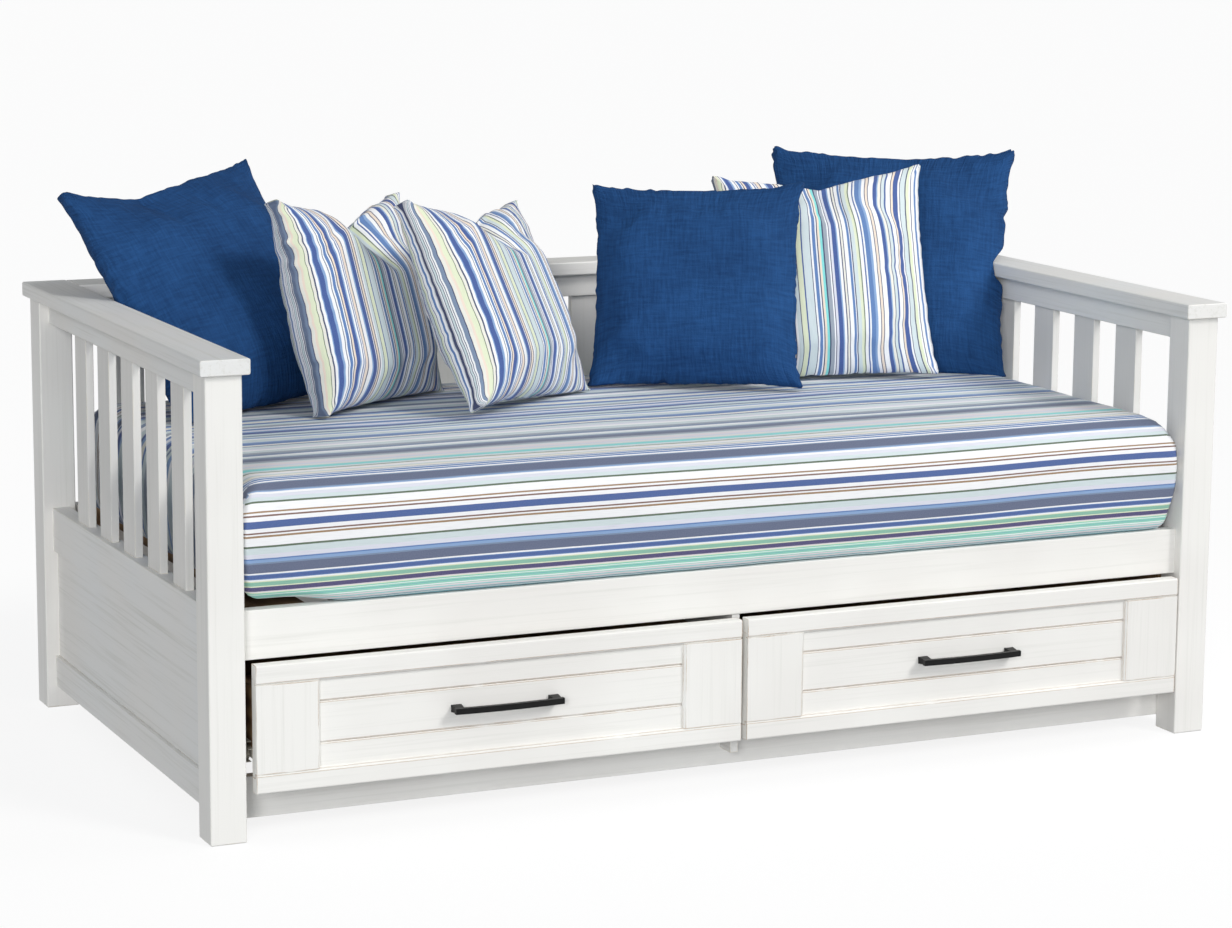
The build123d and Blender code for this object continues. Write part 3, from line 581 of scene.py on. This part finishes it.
flat = points_of(mattress)
half_x, half_y = size.x / 2, size.y / 2
x, y = (flat - np.array(middle))[:, :2].T
height = np.clip((flat[:, 2] - mattress_low.z) / size.z, 0, 1)
top = ease(height, top_share, 1.0)
inside = np.clip(1 - (x / half_x) ** 4, 0, 1) * np.clip(1 - (y / half_y) ** 2, 0, 1)
at_end = near_edge(x, half_x, band=0.06)
at_side = near_edge(y, half_y, band=0.05)
bulge = np.sin(height * pi)
shaped = flat.copy()
shaped[:, 2] += crown_rise * inside * top
shaped[:, 0] += end_bulge * bulge * np.sign(x) * at_end
shaped[:, 1] += side_bulge * bulge * np.sign(y) * at_side
print("ends", round(end_bulge * 1000), "mm and sides", round(side_bulge * 1000), "mm proud")

# %% [markdown]
# ## Wrinkles where the elastic pulls
# The cover is drawn tight over the top, so wrinkles gather at the ends and corners and along the lower hem,
# and the hem rides up at the near corner. A cloth simulation of so large a sheet takes minutes and lays its
# folds where it likes. Stretched noise is quick, and its folds can be kept to where the elastic is.

# %% Wrinkles, gathers and a lifted corner
end_fold, end_corner_fold, side_corner_fold = 0.006, 0.004, 0.006
side_wave, side_line = 0.004, 0.0012
top_wave, top_line = 0.0025, 0.0008
gather_depth, hem_share = 0.0022, 0.16
tuft_depth, tuft_x, tuft_width = 0.005, 0.30, 0.08
lift, foot_share = 0.016, 0.35
end_limit, post_limit, post_band = 0.985, 0.975, 0.06

near_end = near_edge(x, half_x, band=0.11)
near_corner = near_end * near_edge(y, half_y, band=0.16)
end_folds = ripple(flat, (6, 26, 5), 3)
corner_folds = ripple(flat, (16, 16, 9), 5)
slow = ripple(flat, (2.2, 7, 5), 8)
fine = ripple(flat, (3.0, 30, 30), 11)
gathers = ripple(flat, (34, 6, 10), 13)
pushed_out = end_fold * end_folds + end_corner_fold * corner_folds
shaped[:, 0] += np.sign(x) * near_end * pushed_out * (1 - 0.6 * top)
shaped[:, 1] += np.sign(y) * at_side * (side_wave * slow + side_line * fine)
shaped[:, 1] += np.sign(y) * near_corner * side_corner_fold * corner_folds
shaped[:, 2] += top * (top_wave * slow * inside + top_line * fine)
hem = at_side * (1 - ease(height, 0.0, hem_share))
tuft = np.exp(-((flat[:, 0] - tuft_x) / tuft_width) ** 2)
shaped[:, 1] += np.sign(y) * hem * gathers * (gather_depth + tuft_depth * tuft * (y < 0))
foot = 1 - ease(height, 0.0, foot_share)
lifted = ease(-x, half_x - 0.20, half_x - 0.06) * ease(-y, half_y - 0.25, half_y - 0.05)
shaped[:, 2] += foot * lifted * lift
shaped[:, 2] = np.maximum(shaped[:, 2], mattress_low.z)
limit = np.where(abs(y) > half_y - post_band, post_limit, end_limit)
shaped[:, 0] = np.clip(shaped[:, 0], -limit, limit)
set_points(mattress, shaped)
print("mattress from", shaped.min(0).round(3), "to", shaped.max(0).round(3))

# %% [markdown]
# ## Stripes that follow the cover
# The fitted cover is one sheet with darts at its corners. Along the front the stripes run level. At the ends
# the same sheet hangs down, so there the stripes run straight down from the top. Unwrapping by hand gives no
# true distances, so the distance across the cloth is worked out: up the front, over the rounded edge, back
# across the top and down behind. It wanders by a few millimetres, as no cover is pulled on quite straight.

# %% Distance across the cover
def girth(y_place, z_place):
    """Distance across the cover, in metres, from the lower front edge."""
    front = mattress_low.y + edge_round
    rear = mattress_high.y - edge_round
    straight = size.z - edge_round
    rise = z_place - mattress_low.z
    over = np.arctan2(np.clip(rise - straight, 0, None), np.clip(front - y_place, 1e-6, None))
    up_front = np.where(rise < straight, rise, straight + edge_round * over)
    top_start = straight + edge_round * pi / 2
    on_top = top_start + np.minimum(y_place, rear) - front
    rear_over = np.arctan2(np.clip(y_place - rear, 0, None), np.clip(rise - straight, 1e-6, None))
    behind = top_start + rear - front + edge_round * rear_over + np.clip(straight - rise, 0, None)
    return np.where(y_place < front, up_front, np.where(y_place < rear, on_top, behind))


def drop_at_end(y_place):
    """The same distance at the ends, where a stripe hangs straight down from the top."""
    return size.z - edge_round + edge_round * pi / 2 + y_place - mattress_low.y - edge_round


top_start = girth(np.array([mattress_low.y + edge_round]), np.array([mattress_high.z]))[0]
print("the top starts", round(float(top_start) * 1000), "mm up the cloth")

# %% Lay the cloth map on the mattress
end_reach = 0.09
slow_wander, quick_wander = 0.005, 0.0025

corners_of_face = [face.loop_total for face in mattress.data.polygons]
face_of_corner = np.repeat(np.arange(len(corners_of_face)), corners_of_face)
normals = np.array([face.normal for face in mattress.data.polygons])[face_of_corner]
corner = shaped[corner_points_of(mattress)]
on_end = (abs(normals[:, 0]) > 3 * abs(normals[:, 1])) & (abs(corner[:, 0]) > half_x - end_reach)
distance = np.where(on_end, drop_at_end(corner[:, 1]), girth(corner[:, 1], corner[:, 2]))
distance += slow_wander * ripple(corner, (0.9, 0.9, 2.0), 17, 1)
distance += quick_wander * ripple(corner, (2.6, 2.6, 4.0), 19, 1)
map_cloth(mattress, np.stack([corner[:, 0], distance], axis=1))
mattress.data.materials.append(cotton("cover_cotton", cover_stripes, "V", 0.0))
mattress.data.shade_smooth()
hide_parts("mattress")
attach(mattress, "frame")
print("cover mapped up to", round(float(distance.max()), 3), "m")

# %% [markdown]
# ## Two sheets sewn together
# A scatter pillow is two squares of cloth sewn together at the edge and stuffed. A rounded cube would do for
# the form, but its stripes wouldn't follow the cloth. So a pillow starts as a flat grid as wide as its cloth.
# The cloth map is read while it is flat, and Solidify makes the front sheet, the rear one and the seam. The
# rear sheet is seen from its other side, so its map is mirrored.

# %% Sew a pillow
sheet_gap = 0.008
grid_cells = 72


def sewn_sheets(name, width):
    bpy.ops.object.select_all(action="DESELECT")
    bpy.ops.mesh.primitive_grid_add(x_subdivisions=grid_cells, y_subdivisions=grid_cells, size=width)
    piece = bpy.context.object
    piece.name = name
    while piece.data.uv_layers:
        piece.data.uv_layers.remove(piece.data.uv_layers[0])
    map_cloth(piece, points_of(piece)[corner_points_of(piece)][:, :2])
    modify(piece, "SOLIDIFY", thickness=sheet_gap, offset=0)
    apply_all(piece)
    cloth = piece.data.uv_layers["cloth"].data
    for face in piece.data.polygons:
        if face.normal.z < -0.5:
            for index in face.loop_indices:
                cloth[index].uv.x *= -1
    return piece


print("sheets of", grid_cells, "by", grid_cells, "cells")

# %% [markdown]
# ## How far the cloth reaches
# Stuffed, the cloth runs over a crown, so less of its width is left from seam to seam, and most of the loss
# is near the edge, where the pillow falls off. If the flat grid were only swollen, the stripes there would
# stretch. So the cloth is measured along the curve first. The corners are where the filling doesn't reach:
# they are rounded to ears.

# %% Measure the cloth over the crown
formed_share, ears_from, section_steps = 0.9, 0.86, 400


def measure_section(width, thickness, fullness):
    """How far the cloth runs over the crown, for steps from the middle out to the seam."""
    step = np.sin(np.linspace(0, pi / 2, section_steps))
    crown = np.sqrt(1 - step ** fullness) * thickness / 2
    run = np.concatenate([[0], np.cumsum(np.hypot(np.diff(step) * width / 2, np.diff(crown)))])
    return step, run


def half_cloth(width, thickness, fullness):
    """Half the width of the flat cloth that a pillow is sewn from."""
    return measure_section(width, thickness * formed_share, fullness)[1][-1]


def with_ears(share):
    """The square with its four corners rounded to ears."""
    over = np.clip(abs(share) - ears_from, 0, 1)
    length = np.maximum(np.hypot(over[:, 0], over[:, 1]), 1e-9)
    shrink = np.where((over > 0).all(axis=1), over.max(axis=1) / length, 1)
    return np.sign(share) * (np.minimum(abs(share), ears_from) + over * shrink[:, None])


print("a pillow of 450 mm takes", round(half_cloth(0.45, 0.14, 2.8) * 2000), "mm of cloth")

# %% [markdown]
# ## Crown, seam and ears
# Air alone would make a balloon of the two sheets, so the form is worked out: the middle fills out to a
# crown, a little fuller at the bottom, the edges draw in between the ears, and the seam puckers in small
# folds that die out inwards. The folds run square to the seam, so their noise is quick along it and slow
# away from it.

# %% Crown a pillow
settling, draw_in, gather_reach, fold_height = 0.10, 0.095, 0.10, 1.3
ear_puff, ear_reach, ear_edge = 0.009, 0.03, 0.08


def seam_folds(across, upwards, side, from_seam, seed):
    """Puckers along the seam, each side of the pillow with its own."""
    along_seam = np.where(abs(across) > abs(upwards), upwards + 3 * np.sign(across),
                          across + 6 * np.sign(upwards))
    line = np.stack([along_seam, side * 0.3, from_seam * 0.3], axis=1)
    uneven = 0.7 + ripple(line, (3, 1, 1), seed + 20)
    return ripple(line, (17, 1, 6), seed, 3) * uneven * np.exp(-from_seam / gather_reach)


def crown_pillow(place, width, thickness, fullness, gather, seed):
    """The points on the crowned pillow, then what the dent and the air need to know about each."""
    side = np.sign(place[:, 2])
    step, run = measure_section(width, thickness, fullness)
    cloth_share = place[:, :2] / run[-1]
    share = with_ears(np.sign(cloth_share) * np.interp(abs(cloth_share), run / run[-1], step))
    across, upwards = share.T
    filled = np.clip(1 - abs(across) ** fullness, 0, 1) * np.clip(1 - abs(upwards) ** fullness, 0, 1)
    crown = np.sqrt(filled) * (1 - settling * upwards)
    drawn = 1 - draw_in * (1 - abs(share[:, ::-1]) ** 8)
    from_seam = 1 - abs(cloth_share).max(axis=1)
    folds = seam_folds(across, upwards, side, from_seam, seed)
    inwards = -share / np.maximum(abs(share).max(axis=1), 0.2)[:, None]
    outline = share * drawn * width / 2 + inwards * (gather * folds)[:, None]
    near_ear = np.exp(-((1 - abs(cloth_share)) ** 2).sum(axis=1) / ear_reach)
    ear = near_ear * np.sqrt(np.clip(from_seam / ear_edge, 0, 1))
    depth = place[:, 2] + side * (crown * (thickness / 2 - sheet_gap / 2))
    depth += side * ear_puff * ear
    depth += gather * fold_height * folds * np.clip(crown * 3, 0, 1)
    return np.column_stack([outline, depth]), side, share, crown, from_seam


print("edges drawn in by up to", round(draw_in * 100, 1), "%")

# %% [markdown]
# ## A dent in the top
# On show, a pillow is dented with the side of a hand: its top dips between two raised corners, and a crease
# runs down from the dip and fades out. Sculpting would be the same work six times. One function makes every
# dent its own, and gives a shallow one to the blue pillows, which are only slack there.

# %% Dent a pillow
sharp_share, soft_share, soft_width, rear_share = 0.45, 0.55, 1.5, 0.35


def dent_top(place, side, share, crown, width, middle, dip, crease, spread, reach, slant=0.0):
    """Dip and crease are shares of the pillow's width, the rest are shares of half its width."""
    across, upwards = share.T
    from_crease = across - (middle + slant * (1 - upwards))
    ridge = np.clip(1 - abs(from_crease) / spread, 0, 1) ** 1.6
    hollow = sharp_share * ridge + soft_share * np.exp(-(from_crease / (soft_width * spread)) ** 2)
    fade = ease(upwards, 1 - reach, 1.0)
    place[:, 1] -= dip * width * hollow * fade
    pressed = np.where(side > 0, crease, -rear_share * crease) * width
    place[:, 2] -= pressed * ridge * fade * np.clip(crown * 2 + 0.2, 0, 1)


print("dents ready")

# %% [markdown]
# ## A little air
# A formula gives no small, uneven wrinkles, and a short cloth simulation does: the seam shrinks by a tenth
# while a little air fills the cloth. Gravity is off, and no point may move further than a cap, so the form
# stays. After 20 frames the result is kept and the simulation taken away.

# %% Fill a pillow
seam_share, most_moved, last_frame = 0.02, 0.014, 20
cloth_settings = {
    "quality": 5, "mass": 0.2, "tension_stiffness": 20, "compression_stiffness": 20,
    "shear_stiffness": 8, "bending_stiffness": 0.05, "vertex_group_shrink": "seam",
    "shrink_min": 0.0, "shrink_max": 0.10, "use_pressure": True, "uniform_pressure_force": 3.0}


def blow_up(piece, from_seam):
    start = points_of(piece)
    seam = piece.vertex_groups.new(name="seam")
    seam.add([int(index) for index in np.nonzero(from_seam < seam_share)[0]], 1.0, "REPLACE")
    cloth = piece.modifiers.new("cloth", "CLOTH")
    for key, value in cloth_settings.items():
        setattr(cloth.settings, key, value)
    cloth.settings.effector_weights.gravity = 0
    cloth.point_cache.frame_start = 1
    cloth.point_cache.frame_end = last_frame
    for frame_number in range(1, last_frame + 1):
        scene.frame_set(frame_number)
    apply_all(piece)
    scene.frame_set(1)
    moved = points_of(piece) - start
    length = np.maximum(np.linalg.norm(moved, axis=1), 1e-9)
    print(piece.name, "moved up to", round(float(length.max()) * 1000), "mm before the cap")
    set_points(piece, start + moved * (np.minimum(length, most_moved) / length)[:, None])
    piece.vertex_groups.clear()


def make_pillow(name, width, thickness, fullness, gather, seed, dent):
    """A filled pillow: upright, its lower edge on the origin, facing the front, at its own size."""
    piece = sewn_sheets(name, half_cloth(width, thickness, fullness) * 2)
    place, side, share, crown, from_seam = crown_pillow(
        points_of(piece), width, thickness * formed_share, fullness, gather, seed)
    dent_top(place, side, share, crown, width, **dent)
    set_points(piece, place)
    blow_up(piece, from_seam)
    place = points_of(piece)
    place *= np.array([width, width, thickness]) / (place.max(0) - place.min(0))
    place[:, 1] += width / 2 - place[:, 1].max()
    set_points(piece, np.stack([place[:, 0], -place[:, 2], place[:, 1] + width / 2], axis=1))
    return piece


print("pillow pattern ready")

# %% [markdown]
# ## Standing on the mattress
# Each pillow is leaned back and turned, and let down until it sinks a little into the mattress. A soft thing
# is flat where it rests, so what would lie below the mattress top is squeezed up to it. Where it leans on the
# caps it gives way too, so that cloth and wood don't share space. One subdivision then smooths the cloth.

# %% Lean, rest and dent
sink, soft_layer, rest_gap = 0.016, 0.014, 0.002
hair, clearance, bend = 0.001, 0.002, 0.018
below_cap, above_cap, free_height = 0.020, 0.150, 0.058


def give_way(place):
    """Dent a pillow where it leans on the caps of the arms and the back."""
    (_, inner_back, under), (_, _, top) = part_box("back_cap")
    heights = [under - bend, under - hair, top + hair, top + bend, top + free_height]
    room = np.interp(place[:, 2], heights, [below_cap, -clearance, -clearance, bend, above_cap])
    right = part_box("right_arm_cap")[0].x + room
    back = inner_back + room + np.where(place[:, 2] < under, -below_cap, 0.0)
    place[:, 0] = np.clip(place[:, 0], -right, right)
    place[:, 1] = np.minimum(place[:, 1], back)


def stand(piece, node, middle_x, middle_y, turn, lean, roll):
    """Lean a pillow in its place and rest it on the mattress, a little flattened underneath."""
    turned = Matrix.Rotation(radians(turn), 3, "Z") @ Matrix.Rotation(radians(-lean), 3, "X")
    turned = turned @ Matrix.Rotation(radians(-roll), 3, "Y")
    place = points_of(piece) @ np.array(turned).T
    place[:, 0] += middle_x
    place[:, 1] += middle_y
    bed_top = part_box(node)[0].z
    place[:, 2] += bed_top - place[:, 2].min() - sink
    soft_top = bed_top + rest_gap + soft_layer
    under = np.clip(soft_top - place[:, 2], 0, None)
    squeezed = bed_top + rest_gap + soft_layer * np.exp(-under / soft_layer)
    place[:, 2] = np.where(under > 0, squeezed, place[:, 2])
    give_way(place)
    set_points(piece, place)
    piece.data.shade_smooth()
    modify(piece, "SUBSURF", levels=1, render_levels=1)
    apply_all(piece)
    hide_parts(node)
    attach(piece, "frame")


print("pillows sink", round(sink * 1000), "mm")

# %% [markdown]
# ## Crinkled blue cotton
# The blue covers are double gauze: two thin layers tacked together, which shrink into a fine grid of crinkles
# when washed. A woven bump would be too even for it. The crinkles run both ways, so two noises are stretched,
# one along each thread direction, with rounder puffs between them. The valleys are painted darker, as painted
# shade where less light gets in. Near an edge, the crinkles square to it grow stronger.

# %% Gauze
crinkle_depth = 0.0035


def gauze(name, light, dark):
    finish = Finish(name)
    place, along, across = cloth_map(finish)
    upright = finish.noise(finish.stretched(place, (190, 16, 1)), roughness=0.6)
    level = finish.noise(finish.stretched(place, (18, 150, 1)), roughness=0.6)
    puffs = finish.noise(finish.stretched(place, (55, 40, 1)), detail=3, roughness=0.6)
    patches = finish.noise(place, scale=7)
    threads = finish.noise(place, scale=1100, detail=1)
    near_side, near_hem = abs(along * 4) ** 4, abs(across * 4) ** 4
    grid = upright * (near_hem * 0.9 + 0.35) + level * (near_side * 0.9 + 0.35)
    # painted shade: the crinkles' valleys are darker and their tops lighter in the colour itself
    raised = finish.spread((upright + level) * 0.5, 0.38, 0.64)
    lightness_with_painted_shade = raised * 0.5 + finish.spread(patches, 0.3, 0.7, 0.1, 0.45)
    finish.set(Base_Color=finish.mix(lightness_with_painted_shade, full(dark), full(light)),
               Roughness=finish.spread(threads, 0.3, 0.7, 0.8, 0.95), Specular_IOR_Level=0.15,
               Normal=finish.bump(grid + puffs * 0.9 + threads * 0.1, crinkle_depth, strength=0.85))
    return finish.material


blue_gauze = gauze("blue_gauze", "265288", "13345e")
print(len(blue_gauze.node_tree.nodes), "nodes in the gauze")

# %% [markdown]
# ## The pillows' stripes
# The striped pillows are cut from a lighter cloth: white, with groups of blue, lime and peach between dark
# hairlines. All three are cut from one length, each from another place along it, so that they match without
# being copies.

# %% Widths of the pillows' stripes
repeat_up_to = 30
pillow_stripes = [
    (3, "white"), (1.5, "ink"), (4, "white"), (1.5, "ink"), (5, "mist"), (1.5, "ink"), (3, "white"),
    (2, "ink"), (4, "white"), (9, "dusk"), (2, "ink"), (8, "cream"), (5, "peach"), (11, "lime"),
    (2, "olive"), (6, "cream"), (3, "ink"), (6, "white"), (2, "sky"), (11, "deep"), (5, "sky"),
    (6, "white"), (2, "ink"), (3, "white"), (6, "blue"), (3, "white"), (2, "ink"), (4, "peach"),
    (9, "deep"), (4, "sky"), (5, "white"), (2, "navy"), (3, "white"), (2, "navy"), (7, "peach"),
    (2, "ink"), (10, "white"), (4, "sky"), (12, "deep"), (2, "white"), (3, "ink"), (6, "peach"),
    (2, "ink"), (5, "white"), (8, "mist"), (2, "ink"), (11, "lime"), (3, "deep"), (16, "mist"),
    (2, "ink"), (4, "white"), (7, "blue"), (3, "white"), (2, "ink"), (5, "peach"), (5, "aqua"),
    (3, "ink"), (8, "grey"), (3, "white"), (2, "ink"), (5, "lilac"), (9, "deep"), (3, "sky"),
    (5, "white"), (2, "ink"), (4, "cream"), (2, "ink"), (8, "white"), (5, "blue"), (2, "white"),
    (2, "ink"), (8, "mist"), (6, "lime"), (2, "olive"), (7, "white"), (3, "navy"), (3, "white"),
    (10, "blue"), (5, "sky"), (6, "white"), (2, "ink"), (5, "peach"), (2, "ink"), (10, "white"),
    (8, "deep"), (3, "sky"), (6, "cream"), (2, "ink"), (7, "mist"), (4, "navy"), (9, "white"),
    (2, "ink"), (5, "peach"), (11, "deep"), (4, "white"), (2, "ink"), (12, "mist"), (3, "ink"),
    (8, "lime"), (4, "white"), (2, "ink"), (9, "white"), (7, "blue"), (6, "white")]
pillow_stripes += pillow_stripes[:repeat_up_to]
print(round(sum(width for width, _ in pillow_stripes)), "mm of pillow stripes")

# %% [markdown]
# ## Six pillows in their places
# Each pillow has its own size, dent and angles, read from the picture, and its own seed for the folds. The
# fullness says how square the crown is: a stuffed pillow has a high one. In the striped ones, stripe_start is
# where the list of stripes begins, in metres from the left seam. Those without it are blue.

# %% Pillows
pillow_list = [
    dict(node="blue_pillow_left",
         shape=dict(width=0.55, thickness=0.165, fullness=2.8, gather=0.008, seed=1),
         dent=dict(middle=-0.25, dip=0.055, crease=0.06, spread=0.7, reach=0.6),
         stance=dict(middle_x=-0.644, middle_y=0.2135, turn=28, lean=35, roll=3)),
    dict(node="striped_pillow_left", stripe_start=-0.026,
         shape=dict(width=0.44, thickness=0.165, fullness=4.5, gather=0.007, seed=2),
         dent=dict(middle=0.12, dip=0.14, crease=0.18, spread=0.55, reach=0.85, slant=0.12),
         stance=dict(middle_x=-0.442, middle_y=0.179, turn=37, lean=16, roll=-2)),
    dict(node="striped_pillow_middle", stripe_start=-0.004,
         shape=dict(width=0.44, thickness=0.165, fullness=4.5, gather=0.007, seed=3),
         dent=dict(middle=0.10, dip=0.10, crease=0.13, spread=0.5, reach=0.7),
         stance=dict(middle_x=-0.166, middle_y=0.055, turn=40, lean=26, roll=-5)),
    dict(node="blue_pillow_centre",
         shape=dict(width=0.45, thickness=0.14, fullness=2.8, gather=0.008, seed=4),
         dent=dict(middle=0.1, dip=0.01, crease=0.0, spread=0.7, reach=0.5),
         stance=dict(middle_x=0.230, middle_y=0.126, turn=-32, lean=20, roll=2)),
    dict(node="striped_pillow_right", stripe_start=-0.03,
         shape=dict(width=0.455, thickness=0.14, fullness=3.2, gather=0.005, seed=5),
         dent=dict(middle=0.0, dip=0.07, crease=0.05, spread=0.6, reach=0.6),
         stance=dict(middle_x=0.568, middle_y=0.1445, turn=-17, lean=16, roll=3)),
    dict(node="blue_pillow_right",
         shape=dict(width=0.54, thickness=0.135, fullness=2.8, gather=0.008, seed=6),
         dent=dict(middle=0.1, dip=0.02, crease=0.02, spread=0.8, reach=0.5),
         stance=dict(middle_x=0.720, middle_y=0.218, turn=-34, lean=27, roll=0.5))]
for pillow in pillow_list:
    node, shape, stripe_start = pillow["node"], pillow["shape"], pillow.get("stripe_start")
    piece = make_pillow(node.replace("pillow", "cushion"), dent=pillow["dent"], **shape)
    stand(piece, node, **pillow["stance"])
    if stripe_start is None:
        dress = blue_gauze
    else:
        half = half_cloth(shape["width"], shape["thickness"], shape["fullness"])
        dress = cotton(node + "_cotton", pillow_stripes, "U", stripe_start - half, half)
    piece.data.materials.append(dress)
    print(piece.name, len(piece.data.vertices), "points")

# %% [markdown]
# ## Floor
# The daybed stands on a plain white floor that runs on as the background. A floor that is only lit would turn
# grey towards the horizon, so most of its brightness is a glow of its own, and the rest takes the soft
# shadows. The glow doesn't light the daybed from below, because the floor is hidden from diffuse rays.

# %% White floor
floor_size, floor_glow, glow_share, floor_shade = 160, 1.06, 0.8, (0.9, 0.9, 0.9, 1)

bpy.ops.object.select_all(action="DESELECT")
bpy.ops.mesh.primitive_plane_add(size=floor_size, location=(0, 0, 0))
floor = bpy.context.object
floor.name = "floor"
white = Finish("floor_white")
glow = white.node("ShaderNodeEmission", {}, {"Color": (1, 1, 1, 1), "Strength": floor_glow})
lit = Flow(white, white.shader.outputs[0])
floor_shader = white.node("ShaderNodeMixShader", {}, {0: glow_share, 1: lit, 2: glow})
white.feed(white.tree.nodes["Material Output"].inputs["Surface"], floor_shader)
white.set(Base_Color=floor_shade, Roughness=0.9, Specular_IOR_Level=0.0)
floor.data.materials.append(white.material)
floor.visible_diffuse = False
print("floor", floor_size, "m wide")

# %% [markdown]
# ## Surround
# Studio light comes from all round. A single strength would leave the arms and the back equally bright, so
# the surround is brighter towards the front right: its strength follows how far each direction agrees with
# the brightest one.

# %% Brighter on one side
brightest_side, cool_white = (0.75, -0.60, 0.25), (0.94, 0.97, 1.0, 1)
dimmest, strongest = 0.20, 0.42

world = bpy.data.worlds.new("surround")
world.use_nodes = True
sky = world.node_tree.nodes
facing = sky.new("ShaderNodeTexCoord")
agreement = sky.new("ShaderNodeVectorMath")
agreement.operation = "DOT_PRODUCT"
agreement.inputs[1].default_value = brightest_side
strength = sky.new("ShaderNodeMapRange")
for name, value in (("From Min", -1), ("From Max", 1), ("To Min", dimmest), ("To Max", strongest)):
    strength.inputs[name].default_value = value
world.node_tree.links.new(facing.outputs["Generated"], agreement.inputs[0])
world.node_tree.links.new(agreement.outputs["Value"], strength.inputs["Value"])
world.node_tree.links.new(strength.outputs["Result"], sky["Background"].inputs["Strength"])
sky["Background"].inputs["Color"].default_value = cool_white
scene.world = world
print("surround from", dimmest, "to", strongest)

# %% [markdown]
# ## Lamps
# Two wide suns do most of the lighting. The one from the front right stands high and throws the handles'
# shadows down to the left, and the one from the front left stands low and fills the near arm. A wide angle
# makes soft shadows as a large studio lamp does, and a sun lights both ends of a long piece alike. A small
# area lamp lifts the inner side of the right arm.

# %% Lamps
def lamp(name, kind, place, target, energy, colour, **settings):
    data = bpy.data.lights.new(name, kind)
    data.energy = energy
    data.color = colour
    for key, value in settings.items():
        setattr(data, key, value)
    made = bpy.data.objects.new(name, data)
    made.location = place
    made.rotation_euler = (Vector(target) - Vector(place)).to_track_quat("-Z", "Y").to_euler()
    scene.collection.objects.link(made)
    print(name, energy)


bed_middle, arm_top = (0, 0, 0.5), (0.9, 0, 0.8)
lamp("right_lamp", "SUN", (3.0, -4.6, 4.6), bed_middle, 1.25, (1.0, 0.985, 0.96), angle=radians(16))
lamp("left_lamp", "SUN", (-2.9, -4.4, 1.9), bed_middle, 1.42, (0.985, 0.99, 1.0), angle=radians(22))
lamp("arm_lamp", "AREA", (1.9, -0.9, 2.4), arm_top, 14, (1.0, 0.99, 0.98), size=1.2)
scene.view_settings.view_transform = "Standard"
